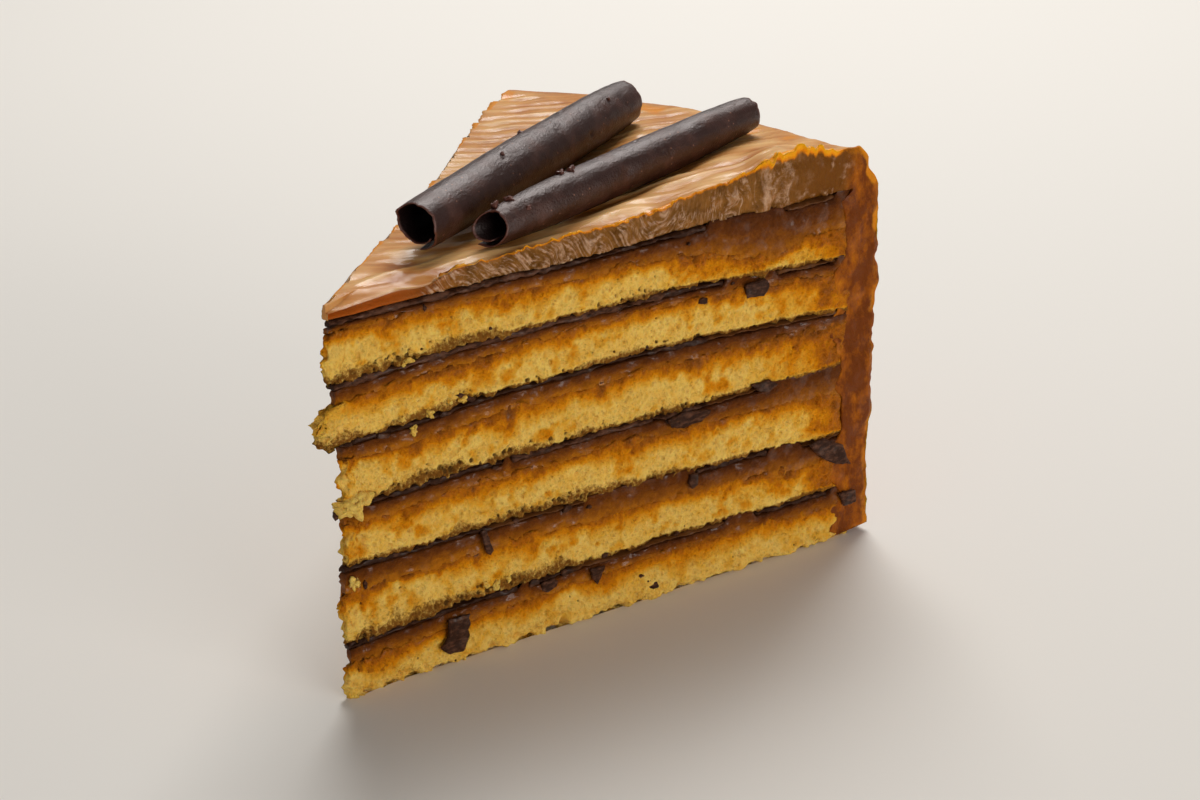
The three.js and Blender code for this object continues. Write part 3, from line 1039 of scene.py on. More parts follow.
# %% [markdown]
# ## Chocolate sheets and their shards
#
# A sheet of chocolate snaps under the knife. Its edge is smeared in some places and missing in others, and
# splinters are dragged down over the face. Each sheet is one thin lattice block. Each splinter is a small
# plate of its own that is joined to the sheet's mesh, because they are one material and one piece.

# %% The look of the sheets
SHEET_DARK = linear(52, 27, 14)
SHEET_SUNK = linear(108, 64, 26)
SHEET_SMEAR_HIGHLIGHT = linear(100, 64, 46)

dark = Look("dark chocolate sheet")
# Painted highlight, partly on real smear: paler grey-brown patches where the edge is smeared broad and on
# the splinters stand for their gloss.
smear_highlight_noise = dark.noise(1.8, detail=4.0, rough=0.65, stretch=(1, 1, 2.5))
smear_highlight_patches = dark.step(smear_highlight_noise + dark.value("worn") * 0.14, 0.5, 0.78)
glossy = dark.step(dark.noise(2.8, detail=2.0), 0.5, 0.64)
sunk_share = dark.step(dark.value("sunk") + (dark.noise(1.6, detail=4.0, rough=0.65) - 0.5) * 1.6, 0.3, 1.0)
dark.set(
    Base_Color=dark.mixed(sunk_share * 0.75, dark.mixed(smear_highlight_patches, SHEET_DARK, SHEET_SMEAR_HIGHLIGHT), SHEET_SUNK),
    Roughness=0.46,
    Normal=dark.bump(dark.noise(0.9, detail=5.0, rough=0.7), 0.3),
    Coat_Weight=glossy * 0.35,
    Coat_Roughness=0.3,
    Specular_IOR_Level=0.12,
)

# %% The body of a sheet
sheet_rows = 6
edge_columns = 2
pushed_in = 2.2


def sheet_body(n):
    """The chocolate sheet on caramel n: its edge is smeared, sunk or broken away in places."""
    node = f"chocolate_{n}"
    shares, quads, many, distance, across, up, low, high = lattice_of(node, sheet_rows)
    near_face = np.minimum(shares[:, 1], 1 - shares[:, 1]) * across_cells
    on_face = near_face < 0.5
    edge = fading(near_face, edge_columns)
    flat = in_wedge(distance, across, tips[node](up))
    places = face_places(distance, 0 * distance, across, n)
    right = across < 0.5
    share = distance / sponge_radius
    broad = np.where(right, within(smeared.get(n, []), share, 0.02), 0.4)
    deep = np.where(right, within(sunk.get(n, []), share, 0.03), 0.3)
    thickness = 0.55 + 0.4 * uneven(places, size=5.0, seed=89, octaves=2)
    thickness = thickness + 0.35 * uneven(places, size=1.4, seed=90, octaves=2) + 0.5 * broad
    thickness = np.clip(thickness - 0.35 * deep, 0.2, 2)
    waver = 0.16 * uneven(places, size=3.6, seed=97, octaves=2)
    waver = waver + 0.08 * uneven(places, size=1.2, seed=98, octaves=2)
    middle = (low + high) / 2 + waver * edge
    height = middle + (high - low) * (up - 0.5) * (1 + (thickness - 1) * edge)
    face = face_places(distance, height, across, n)
    gone = missing(n, distance, across)
    chipped = pores(places, size=2.4, seed=101, share=0.35, smallest=0.2, largest=0.45)
    belly = 1 - (2 * up - 1) ** 2
    relief = 0.3 * belly * (0.3 + broad) + 0.24 * uneven(face, size=1.7, seed=103, octaves=3)
    relief = relief - 0.6 * chipped - 2.6 * gone - 0.04 + 0.2 * deep
    relief = level_to_rim(relief, distance, level=-0.3)
    points = np.column_stack([flat, height]) + outwards(across) * (on_face * relief)[:, None]
    # Where the sheet is broken away, the columns behind its edge make room for it.
    inner = (near_face > 0.5) & (near_face < 3.5)
    room = inner * gone * pushed_in * fading(near_face - 1, 3)
    points = points - outwards(across) * room[:, None]
    # The worn value marks where the smeared edge gets its painted highlight.
    return body(points, quads, many, worn=np.where(on_face, broad, 0), sunk=deep)


# %% A splinter: a flat ragged plate with a hard bevel
side_length = 0.45
# Each ring: its share of the outline, and how far it lies out of the plate's middle plane.
plate_rings = [(0.5, 0.5), (0.86, 0.46), (0.99, 0.2), (1.0, -0.25), (0.9, -0.5)]


def ragged_outline(corners, seed):
    """The outline about its middle, with points along its sides that stray a little; and its mean size."""
    edge = []
    for first, second in zip(corners, np.roll(corners, -1, 0)):
        steps = max(2, round(np.linalg.norm(second - first) / side_length))
        edge += [first + (second - first) * k / steps for k in range(steps)]
    edge = np.array(edge) - corners.mean(0)
    size = np.linalg.norm(edge, axis=1).mean()
    own_plane = np.column_stack([edge, np.full(len(edge), 7.3 * seed)])
    strays = 0.16 * uneven(own_plane, size=0.9, seed=107, octaves=2) * min(1, 1.6 / size)
    return edge * (1 + strays)[:, None], size


def plate_body(outline, stand=0.3, thick=0.7, tilt=(0.0, 0.0), curl=0.0, seed=0):
    """A snapped plate on the right cut face. Its outline goes round in distances and heights."""
    outline = np.array(outline, float)
    middle = outline.mean(0)
    edge, size = ragged_outline(outline, seed)
    count = len(edge)
    points = []
    for share, side in plate_rings:
        flat = edge * share
        own_plane = np.column_stack([flat, np.full(count, 3.1 * seed)])
        facets = 0.16 * uneven(own_plane, size=1.3, seed=109, octaves=2)
        bowed = curl * ((flat[:, 0] / size) ** 2 - 0.4)
        out = stand + thick * side + facets * (side > 0) + bowed + flat @ np.array(tilt)
        distance, height = (flat + middle).T
        on_cut = np.column_stack([on_plan(distance, 0 * distance), height])
        points.append(on_cut + outwards(0 * distance) * out[:, None])
    points = np.vstack(points)
    ids = np.arange(len(points)).reshape(len(plate_rings), count)
    around = np.concatenate([ids, ids[:, :1]], 1)
    corners = [around[:-1, :-1], around[1:, :-1], around[1:, 1:], around[:-1, 1:]]
    quads = np.stack(corners, -1).reshape(-1, 4)
    lids = [list(ids[0]), list(ids[-1][::-1])]
    area = np.sum(edge[:, 0] * np.roll(edge[:, 1], -1) - np.roll(edge[:, 0], -1) * edge[:, 1])
    if area < 0:
        quads = quads[:, ::-1]
        lids = [lid[::-1] for lid in lids]
    # The worn value gives each splinter the painted highlight of its facets.
    return body(points, quads, lids, faceted=True, worn=0.6, sunk=0)


def chip_outline(distance, height, width, tall, seed):
    """A small angular outline of five to seven corners."""
    least_corners = 5
    cells = np.array([[seed, k, 5] for k in range(9)])
    draws = draw(cells, 211)
    count = least_corners + int(3 * draws[-1])
    angles = (np.arange(count) + 0.7 * draws[:count]) / count * 2 * math.pi
    reach = 0.36 + 0.16 * draw(cells, 223)[:count]
    across_chip = distance + width * reach * np.cos(angles)
    up_chip = height + tall * reach * np.sin(angles)
    return np.column_stack([across_chip, up_chip])


# %% The larger splinters of each sheet
# They have outlines of their own, given as distances from the tip and heights.
big_splinters = {
    1: [
        dict(
            outline=[
                (20.2, 9.9),
                (24.3, 10.0),
                (24.1, 5.6),
                (23.0, 2.4),
                (19.8, 3.0),
                (18.4, 4.6),
                (19.8, 6.1),
            ],
            stand=0.75,
            tilt=(0.05, 0.05),
            curl=0.2,
        ),
        dict(outline=[(107.0, 10.4), (110.9, 10.1), (111.1, 7.4), (108.3, 6.9)], stand=0.6, tilt=(0.05, 0)),
        dict(outline=[(62.6, 4.6), (65.2, 3.6), (65.4, 2.2), (63.4, 2.0)], stand=0.0, thick=0.5),
        dict(outline=[(49.9, 10.9), (53.0, 10.8), (52.3, 8.6), (51.4, 7.3), (50.3, 8.9)], stand=0.65),
    ],
    2: [
        dict(
            outline=[(27.4, 25.2), (28.5, 25.2), (29.8, 20.9), (29.2, 20.0), (28.2, 21.2)],
            stand=0.6,
            thick=0.6,
        ),
        dict(
            outline=[
                (99.2, 22.9),
                (103.2, 23.0),
                (107.4, 20.6),
                (109.2, 16.3),
                (106.0, 17.0),
                (102.6, 19.0),
            ],
            stand=0.7,
            tilt=(0.03, -0.06),
            curl=0.3,
        ),
        dict(outline=[(72.0, 24.0), (74.0, 23.9), (73.7, 21.4), (72.5, 20.9), (71.7, 22.2)], stand=0.6),
    ],
    3: [
        dict(
            outline=[(66.8, 36.6), (70.5, 37.1), (76.2, 36.4), (74.6, 34.3), (70.8, 33.6), (68.0, 34.7)],
            stand=0.7,
            tilt=(0, 0.12),
            curl=0.25,
        ),
        dict(outline=[(85.8, 38.4), (90.2, 38.6), (92.2, 37.2), (90.3, 36.1), (87.8, 36.6)], stand=0.35),
    ],
    4: [
        dict(outline=[(23.4, 52.3), (24.6, 52.4), (28.2, 50.4), (27.2, 49.9)], stand=0.1, thick=0.5),
    ],
    5: [
        dict(
            outline=[(84.3, 58.9), (88.9, 59.1), (89.4, 57.4), (88.2, 55.8), (84.8, 56.1)],
            stand=0.7,
            tilt=(0.03, 0.06),
        ),
    ],
    6: [],
}

# %% The smaller splinters of each sheet
# Distance from the tip, height, width and height of each.
small_splinters = {
    1: [
        (61.4, 5.9, 1.3, 1.0),
        (41.4, 10.2, 3.6, 2.6),
        (38.2, 11.6, 3.0, 1.7),
        (44.7, 11.6, 1.8, 2.0),
        (69.3, 12.4, 1.6, 1.2),
        (53.5, 12.6, 1.6, 1.1),
    ],
    2: [
        (45.6, 24.4, 2.6, 1.6),
        (34.8, 25.0, 1.5, 1.5),
        (4.6, 21.4, 1.0, 2.2),
        (39.8, 24.6, 1.7, 1.0),
        (50.2, 23.4, 1.4, 1.0),
    ],
    3: [(-0.1, 36.1, 1.5, 1.9), (67.5, 36.0, 1.8, 1.5), (31.0, 36.6, 1.4, 0.9)],
    4: [(9.6, 48.4, 3.4, 1.2), (21.5, 49.3, 2.6, 1.2), (63.0, 51.6, 0.9, 0.8)],
    5: [(75.2, 57.6, 2.6, 1.4), (31.0, 62.8, 0.8, 0.7), (51.0, 60.6, 0.9, 0.7), (81.6, 59.6, 1.2, 0.7)],
    6: [(18.6, 69.4, 0.9, 2.0), (72.0, 69.2, 1.0, 0.8)],
}

# %% The sheets with their splinters
seeds_per_layer = 20
first_small_seed = 10
most_tilt = 0.16
for n in layers:
    parts = [sheet_body(n)]
    for number, splinter in enumerate(big_splinters[n]):
        parts.append(plate_body(seed=seeds_per_layer * n + number, **splinter))
    for number, (distance, height, width, tall) in enumerate(small_splinters[n]):
        seed = seeds_per_layer * n + first_small_seed + number
        tilt = (most_tilt * math.sin(7 * seed), most_tilt * math.cos(5 * seed))
        outline_of_chip = chip_outline(distance, height, width, tall, seed)
        parts.append(plate_body(outline_of_chip, stand=0.15, thick=0.6, tilt=tilt, seed=seed))
    piece(f"sheet_{n}", parts, dark.material, [f"chocolate_{n}"])

# %% [markdown]
# ## Frosting
#
# One coat of milky caramel lies over the top and turns down the rim. A spatula drawn round left arcs of
# ridges, and the knife dragged the right cut edge up to a crest with a thin ragged fringe. Sculpting or a
# displacement modifier could rough it up, but the coat bends by ninety degrees at the rim. So the lattice
# runs along the tip-to-rim line, round the shoulder and down the rim, and each column goes from the coat's
# inside to its outside. Rays on the solid give both surfaces.

# %% The line that the frosting follows from the tip to the foot of the rim
coat_inside = sponge_radius + 0.3
turn_distance = sponge_radius - 6.0
turn_height = 68.0
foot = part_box("frosting")[0].z / MM
top_marks = np.arange(0.0, turn_distance, 1.6)
turn_marks = np.linspace(math.pi / 2, 0, 18)
rim_marks = np.linspace(turn_height, foot + 0.05, 46)[1:]
coat_shares = np.linspace(0.012, 0.988, 41)
turn_centre = (turn_distance - 1.5, turn_height)
least_distance = 3.5


def struck(start, direction):
    """Distance from the tip and height of the place where a ray meets the frosting."""
    found = hit("frosting", start, direction)
    return (np.nan, np.nan) if found is None else (np.hypot(*(found[:2] - tip)), found[2])


def coat_outside(share):
    """Distance and height of the frosting's outer side, along its whole line at one share across."""
    line = []
    heading = right_heading + share * wedge_angle
    out = np.array([math.cos(heading), math.sin(heading)])
    for distance in top_marks:
        x, y = tip + out * max(distance, least_distance)
        line.append((distance, struck((x, y, high_above), (0, 0, -1))[1]))
    for angle in turn_marks[1:]:
        way = np.array([*(out * math.cos(angle)), math.sin(angle)])
        start = np.array([*(tip + out * turn_centre[0]), turn_centre[1]]) + way * high_above
        line.append(struck(start, -way))
    for height in rim_marks:
        start = (*(tip + out * high_above), height)
        line.append(struck(start, (-out[0], -out[1], 0)))
    return line


coat = np.array([coat_outside(share) for share in coat_shares])
for column in coat.reshape(len(coat), -1).T:
    column[np.isnan(column)] = np.nanmean(column)
rim_radius = np.median(coat[:, -len(rim_marks) :, 0])
print("frosting measured on", coat.shape[:2], "points; rim radius", rim_radius.round(1), "mm")


# %% Smoothing the measured coat, and looking it up
reach_of_softening = 3


def softened(table, spread):
    """A measured table with its facets smoothed away along both directions."""
    for axis in (0, 1):
        weights = bell(np.arange(-reach_of_softening, reach_of_softening + 1), spread[axis])
        first = np.take(table, [0] * reach_of_softening, axis)
        last = np.take(table, [-1] * reach_of_softening, axis)
        padded = np.concatenate([first, table, last], axis)
        parts = [w * np.take(padded, range(i, i + table.shape[axis]), axis) for i, w in enumerate(weights)]
        table = sum(parts) / weights.sum()
    return table


coat = softened(coat, spread=(1.3, 1.5))
marks = range(coat.shape[1])
top_end = len(top_marks) - 1
turn_end = top_end + len(turn_marks) - 1


# %% The strokes of the spatula
stroke_slant = math.radians(32.5)
# Each long ridge: from and to along the right cut, how far inwards it starts, its bend and its height.
long_ridges = (
    (58, 84, 12.0, -3.0, 0.6),
    (66, 96, 8.0, -4.5, 0.5),
    (52, 74, 6.0, -2.0, 0.4),
    (20, 52, 3.2, -1.2, 0.4),
    (8, 34, 5.5, 2.0, 0.35),
)
right_cosine, right_sine = math.cos(right_heading), math.sin(right_heading)


def cut_coordinates(plan):
    """How far plan points lie along the right cut, and how far inwards from it."""
    east, north = (plan - tip).T
    return east * right_cosine + north * right_sine, north * right_cosine - east * right_sine


def stroke_lines(plan):
    """A number that stays the same along a stroke, in millimetres across it: strokes come from the left
    cut and turn along the right cut as they near it."""
    along_cut, inwards = cut_coordinates(plan)
    inwards = np.maximum(inwards, 0)
    turned = 0.6 + 0.4 * inwards / (inwards + 9.0)
    spots = np.column_stack([plan, 0 * along_cut])
    across_strokes = along_cut * math.sin(stroke_slant) * turned + inwards * math.cos(stroke_slant)
    across_strokes = across_strokes + 1.1 * uneven(spots, size=26.0, seed=131)
    return across_strokes + 0.4 * uneven(spots, size=8.0, seed=137)


# %% The relief that the spatula left
# Each set of strokes: the distance between them, their depth, and a seed.
stroke_sets = ((3.3, 0.3, 139), (2.1, 0.18, 149), (1.3, 0.05, 151))
sharpness = 1.7


def spatula(plan):
    """The relief of the strokes: crests that are sharper than the troughs."""
    across_strokes = stroke_lines(plan)
    along_cut, inwards = cut_coordinates(plan)
    spots = np.column_stack([plan, 0 * along_cut])
    # Broad soft waves near the right cut, where the spatula was lifted.
    near_cut = np.column_stack([along_cut * 0.35, inwards, 0 * along_cut])
    total = 0.4 * uneven(near_cut, size=3.4, seed=155, octaves=2) * bell(inwards - 5.0, 9.0)
    for spacing, depth, seed in stroke_sets:
        share = across_strokes / spacing + 0.12 * seed
        crest = np.abs((share % 1) * 2 - 1) ** sharpness
        patch = 0.25 + 0.75 * smooth(0.5 + uneven(spots, size=5 * spacing, seed=seed))
        patch = patch * (0.15 + 0.85 * rising(inwards, start=4.0, length=20.0))
        total = total + depth * (crest - 0.4) * patch
    for first, last, place, bend, height in long_ridges:
        share = np.clip((along_cut - first) / (last - first), 0, 1)
        off = inwards - place - bend * share**2
        total = total + height * bell(off, 0.8) * np.sin(np.pi * share)
    return total


# %% The lattice of the frosting
top_cells = 250
turn_cells = 40
rim_cells = 120
all_cells = top_cells + turn_cells + rim_cells
cell_marks = [0, top_cells, top_cells + turn_cells, all_cells]
coat_across = 150
coat_rows = 20
hidden_step = 10
crowd = 0.07
last_of_top = turn_cells * 0.7


def coat_lattice():
    """Numbers for each lattice point: where it is along, across and up, and on which side it lies."""
    shares, quads, many = block(all_cells, coat_across, coat_rows, hidden_step)
    c = SimpleNamespace(quads=quads, many=many, up=shares[:, 2])
    c.step = shares[:, 0] * all_cells
    c.across = shares[:, 1] - crowd * np.sin(4 * np.pi * shares[:, 1]) / 2
    c.right = c.across < 0.5
    c.left = c.across > 0.5
    c.sideways = farther * c.left
    c.on_face = at_faces(shares)
    c.on_top = smooth((top_cells + last_of_top - c.step) / last_of_top)
    c.on_rim = 1 - c.on_top
    c.down_rim = rising(c.step - top_cells, start=0.3 * turn_cells, length=0.5 * turn_cells)
    return c


# %% The frosting's measured sides
half_turn = turn_cells * 0.5


def measure_sides(c):
    """The outer side from the table, and the inner side: under the top, round the corner, down the rim."""
    mark = np.interp(c.step, cell_marks, [0, top_end, turn_end, coat.shape[1] - 1])
    c.outer_distance = blended(coat[:, :, 0], c.across, mark, coat_shares, marks)
    c.outer_height = blended(coat[:, :, 1], c.across, mark, coat_shares, marks)
    inner_marks = [0, top_cells, top_cells + half_turn]
    c.inner_distance = np.interp(c.step, inner_marks, [0, turn_distance, coat_inside])
    roof = undersides["frosting"](np.minimum(c.inner_distance, map_distances[-1]), c.across)
    turned = np.clip((c.step - top_cells - half_turn) / half_turn, 0, 1)
    downs = np.interp(c.step, cell_marks, [0, 0, 0, 1])
    on_inside = roof + (turn_height - roof) * turned
    c.inner_height = np.where(downs > 0, turn_height + (foot - turn_height) * downs, on_inside)


# %% Ridges on top, and dabs down the rim
around_length = 86
rim_seed_plane = 5


def add_ridges(c):
    """The spatula's strokes, weaker at the tip and at the left cut; and the rim's slow unevenness."""
    plan = on_plan(c.outer_distance, c.across)
    c.strokes = stroke_lines(plan)
    c.to_left = (1 - c.across) * c.outer_distance * wedge_angle
    weaker_left = 0.45 + 0.55 * smooth(c.to_left / 5)
    c.ridges = spatula(plan) * c.on_top * smooth(c.outer_distance / 10) * weaker_left
    around = np.stack([c.across * around_length, c.outer_height, 0 * c.across + rim_seed_plane], -1)
    dabs = 0.35 * uneven(around, size=9.0, seed=157, octaves=3)
    dabs = dabs + 0.12 * uneven(squeezed(around, second=0.5), size=2.2, seed=163, octaves=2)
    c.outer_height = c.outer_height + c.ridges
    c.outer_distance = c.outer_distance + c.on_rim * dabs


# %% The fringe along the right cut
crest_span = (0.80, 0.965)
fringe_span = (0.2, 0.98)
corner_from = 70
lip_height = 1.05
corner_height = 1.0
sunk_at_tip = 1.3


def add_fringe(c):
    """Thin teeth that the knife pulled up along the right cut, most of them near the crest."""
    c.to_right = c.across * c.outer_distance * wedge_angle
    c.along = np.stack([c.outer_distance, 0 * c.up, 0 * c.up], -1)
    c.reach_share = c.outer_distance / sponge_radius
    c.crest = within([crest_span], c.reach_share, 0.03)
    c.fringe = 0.55 * within([fringe_span], c.reach_share, 0.1) + 0.85 * c.crest
    teeth = 0.5 + 0.8 * uneven(c.along, size=1.25, seed=167, octaves=2)
    teeth = teeth + 0.4 * uneven(c.along, size=4.0, seed=173, octaves=2)
    c.lip = bell(c.to_right, 0.55) * c.fringe * np.clip(teeth, 0.05, 2) * c.on_top
    corner = bell(c.outer_distance - sponge_radius - 1.6, 1.5) * bell(c.to_right, 0.9)
    corner = corner * (c.outer_height > corner_from)
    c.near_tip = 1 - rising(c.reach_share, start=0.17, length=0.14)
    c.outer_height = c.outer_height + lip_height * c.lip + corner_height * corner
    c.outer_height = c.outer_height - sunk_at_tip * bell(c.to_right, 2.0) * c.near_tip * c.right


# %% The smear over the ends of the layers, and the ragged rim
def add_smear(c):
    """At the cuts the rim's coat is smeared inwards over the layers' ends, and its outer edge is ragged."""
    inner_places = np.stack([c.sideways, c.inner_height, 0 * c.up], -1)
    smear = 2.4 + 2.6 * uneven(inner_places, size=4.6, seed=165, octaves=2)
    smear = smear + 0.5 * uneven(inner_places, size=2.0, seed=166, octaves=2)
    smear = c.down_rim * np.clip(smear, 1.5, 5.0)
    c.inner_distance = c.inner_distance - smear * c.on_face
    c.to_cut = np.minimum(c.to_right, c.to_left)
    c.edge_places = np.stack([c.sideways, c.outer_height, 0 * c.up], -1)
    ragged = 0.1 + uneven(c.edge_places, size=2.6, seed=169, octaves=3)
    c.outer_distance = c.outer_distance + c.on_rim * 0.45 * ragged * bell(c.to_cut, 0.9)
    c.distance = c.inner_distance + (c.outer_distance - c.inner_distance) * c.up
    c.height = c.inner_height + (c.outer_height - c.inner_height) * c.up


# %% Where the cut is wrinkled
folded_spans = [(0.17, 0.64), (0.70, 0.865)]
glossy_span = (0.6, 1.1)


def find_wrinkles(c):
    """How wrinkled the cut is, and the slanted folds where the knife dragged the glossy caramel."""
    share = c.distance / sponge_radius
    c.cut = np.stack([c.distance, c.height, c.sideways], -1)
    wrinkled = within(folded_spans, share, 0.05)
    patchy = smooth(0.5 + 1.6 * uneven(c.cut, size=4.0, seed=178, octaves=2))
    wrinkled = np.maximum(wrinkled, (0.3 + 0.6 * patchy) * within([glossy_span], share, 0.05))
    wrinkled = np.maximum(wrinkled * c.right, 0.6 * c.left)
    c.wrinkled = wrinkled * np.maximum(c.on_top, 0.5 * (c.up < 0.9) * c.on_face)
    slant = 0.9 - 0.7 * rising(share, start=0.6, length=0.16)
    slanted = np.stack([c.distance + slant * c.height, 0.45 * c.height, c.sideways], -1)
    c.slanted = slanted + 0.9 * uneven(c.cut, size=3.0, seed=177)[:, None]
    c.folds = 1 - np.abs(uneven(c.slanted, size=2.7, seed=179, octaves=2))
    c.small_folds = 1 - np.abs(uneven(c.slanted, size=1.3, seed=180, octaves=2))
    c.crease = (0.65 * c.folds**3 + 0.45 * c.small_folds**3) * c.wrinkled * smooth((1 - c.up) / 0.25)


# %% The relief of the cut
bare_span = (0.7, 0.857)
step_length = 12.5


def cut_relief(c):
    """How far each point of the cuts stands out, in millimetres."""
    folded = 0.8 * c.folds**2 + 0.4 * c.small_folds**2 - 0.5
    relief = 0.35 * uneven(c.cut, size=7.0, seed=181, octaves=2) + folded * (0.12 + 0.75 * c.wrinkled)
    relief = relief - 0.45 * bell(1 - c.up, 0.07) * (1 - np.clip(c.fringe, 0, 1))
    relief = relief + 0.3 * bell(1 - c.up, 0.08) * c.fringe
    relief = relief - 1.5 * c.up**2 * c.near_tip * c.right
    # The foot of the coat draws back over the sheet, and lies flat on the layers' ends down the rim.
    has_sheet = 1 - 0.9 * within([bare_span], c.distance / sponge_radius, 0.02) * c.right
    sheet_gap = 0.25 * has_sheet * bell(c.up, 0.08) * c.on_top
    relief = (relief - sheet_gap) * (1 - c.down_rim * bell(c.up, 0.2)) - 0.1 * bell(c.up, 0.03) * c.down_rim
    # The left cut's edge is stepped where the knife stopped and went on.
    c.stepped = (c.outer_distance / step_length + 0.3 * uneven(c.along, size=9.0, seed=185)) % 1
    stepping = c.left * c.on_top * c.up**2 * (1.3 * c.stepped - 0.7)
    return relief + stepping * smooth(c.reach_share / 0.3)


# %% Which points look cut, and where light shines through
glow_seed_plane = 9.0
shine_from = 56


def cut_share_of(c):
    """1 on the cuts; near the tip the top rounds over to the cut, and so do its colours."""
    cutness = c.on_face * np.where(c.up < 1, 1.0, 0.5)
    tip_side = c.near_tip * c.right
    over_edge = 0.6 * tip_side * bell(c.to_right, 1.1) * (c.up == 1) * (1 - c.on_face)
    return cutness * (1 - 0.45 * tip_side * c.up) + over_edge


def glow_of(c):
    """Thin places that light shines through: the left edge, the shoulder behind, and the rim's edges."""
    along_rim = np.stack([c.across * around_length, 0 * c.up, 0 * c.up + glow_seed_plane], -1)
    shoulder = bell(c.step - top_cells - 8, 7)
    shoulder = shoulder * smooth(uneven(along_rim, size=5.0, seed=171, octaves=2) + 0.2)
    thin_left = bell(c.to_left, 0.45) * c.on_top * rising(c.stepped, start=0.35, length=0.3)
    upper_rim = 0.45 + 0.55 * rising(c.outer_height, start=shine_from, length=10)
    thin_rim = bell(c.to_cut, 0.6) * c.on_rim * upper_rim
    thin_rim = thin_rim * smooth(0.85 + uneven(c.edge_places, size=5.0, seed=175, octaves=2))
    glow = np.clip(shoulder * 0.8 + thin_left + thin_rim, 0, 1)
    return glow * rising(c.up, start=0.72, length=0.2)


def fringe_of(c):
    """How thin the fringe is and how much painted glow it gets: all of it at its upper edge, none below its
    start.
    """
    lip_start = 0.88 - 0.12 * c.crest
    edge_glow = bell(c.to_right, 0.7) * np.clip(0.85 * c.fringe + 0.4 * c.lip, 0, 1)
    return edge_glow * smooth((c.up - lip_start) / (1 - lip_start))


# %% The body of the frosting
blunt_length = 3.0
nose_width = 1.2
nose_back = 0.4


def frosting_body():
    """The whole coat, over the top and down the rim."""
    c = coat_lattice()
    for add in (measure_sides, add_ridges, add_fringe, add_smear, find_wrinkles):
        add(c)
    near = np.maximum(c.distance, 0)
    nose = np.stack([tip[0] + nose_width * (0.5 - c.across), tip[1] + nose_back + 0 * c.across], -1)
    blend = smooth_start(near / blunt_length)[:, None]
    flat = nose * (1 - blend) + on_plan(near, c.across) * blend
    relief = c.on_face * cut_relief(c)
    points = np.column_stack([flat, c.height]) + outwards(c.across) * relief[:, None]
    return body(
        points,
        c.quads,
        c.many,
        cut=cut_share_of(c),
        rise=c.up,
        rim=c.on_rim,
        wrinkle=c.wrinkled * c.on_face,
        crease=c.crease * c.on_face,
        fold_across=c.slanted[:, 0],
        fold_along=c.slanted[:, 1],
        glow=glow_of(c),
        stroke=c.strokes,
        # The ridge heights go to the look, which paints crests paler and troughs darker as highlight and
        # shade.
        ridge=c.ridges,
        outwards=c.distance / sponge_radius,
        fringe=fringe_of(c),
    )


# %% The colours of the frosting
# MILKY_PALE and MILKY_DEEP serve as random colour and also as the ridges' painted highlight and shade.
MILKY = linear(206, 144, 80)
MILKY_PALE = linear(228, 178, 116)
MILKY_DEEP = linear(178, 104, 36)
CUT_BROWN = linear(158, 104, 44)
CUT_DEEP = linear(104, 64, 16)
CUT_AMBER = linear(118, 68, 10)
CUT_SHEEN = linear(206, 164, 130)
TIP_AMBER = linear(172, 84, 16)
AMBER_EDGE_GLOW = linear(252, 168, 14)
AMBER_DEEP = linear(222, 136, 12)
FRINGE_ORANGE = linear(234, 136, 6)
RIM_AMBER = linear(166, 88, 2)
RIM_BROWN = linear(116, 54, 2)
RIM_GOLD = linear(196, 114, 4)

# %% Streaks along its strokes and folds
milky = Look("milky caramel frosting")


def carried_noise(first, second, rough):
    """Noise over two carried numbers instead of a place, so that it runs along the strokes or folds."""
    place = milky.node("ShaderNodeCombineXYZ", {}, {"X": first, "Y": second})
    sockets = {"Vector": place, "Scale": 1.0, "Detail": 3.0, "Roughness": rough}
    return milky.node("ShaderNodeTexNoise", {}, sockets)


stroke_noise = carried_noise(milky.value("stroke") * 0.75, milky.value("outwards") * 6.0, rough=0.55)
fold_lines = carried_noise(milky.value("fold_across") * 1.5, milky.value("fold_along") * 1.2, rough=0.6)

# %% The colour of its top
patches = milky.noise(9.0, detail=3.0)
# Painted highlight and shade: ridge crests are painted paler and troughs darker, on top of random patches
# and streaks.
top_tone_and_ridge_light = (patches - 0.5) * 0.8 + (stroke_noise - 0.5) * 0.35 + milky.value("ridge") * 0.75 + 0.5
top_colour = milky.ramp(top_tone_and_ridge_light, [(0.25, MILKY_DEEP), (0.48, MILKY), (0.72, MILKY_PALE)])

# %% The colour and the sheen of its cuts
cut_tone = milky.noise(3.2, detail=4.0, rough=0.6)
cut_colour = milky.ramp(cut_tone, [(0.3, CUT_DEEP), (0.7, CUT_BROWN)])
cut_colour = milky.mixed(milky.step(milky.value("outwards"), 0.8, 0.94), cut_colour, CUT_AMBER)
cut_colour = milky.mixed(milky.step(milky.value("outwards"), 0.26, 0.08), cut_colour, TIP_AMBER)
fine = milky.noise(0.8, detail=4.0, rough=0.65) - 0.5
# Towards the rim the gloss comes in spots instead of folds.
spotted = milky.step(milky.value("outwards"), 0.77, 0.85)
gloss_spots = milky.noise(1.8, detail=5.0, rough=0.7)
gloss_lines = fold_lines * (1 - spotted) + gloss_spots * spotted
sheen = milky.value("crease") * 0.5 + (gloss_lines - 0.5) * 1.9 + fine * 0.4 + (patches - 0.5) * 0.5
sheen = milky.step(sheen, 0.05, 0.65) * milky.step(milky.value("wrinkle"), 0.1, 0.75)
cut_colour = milky.mixed(sheen * 0.85, cut_colour, CUT_SHEEN)

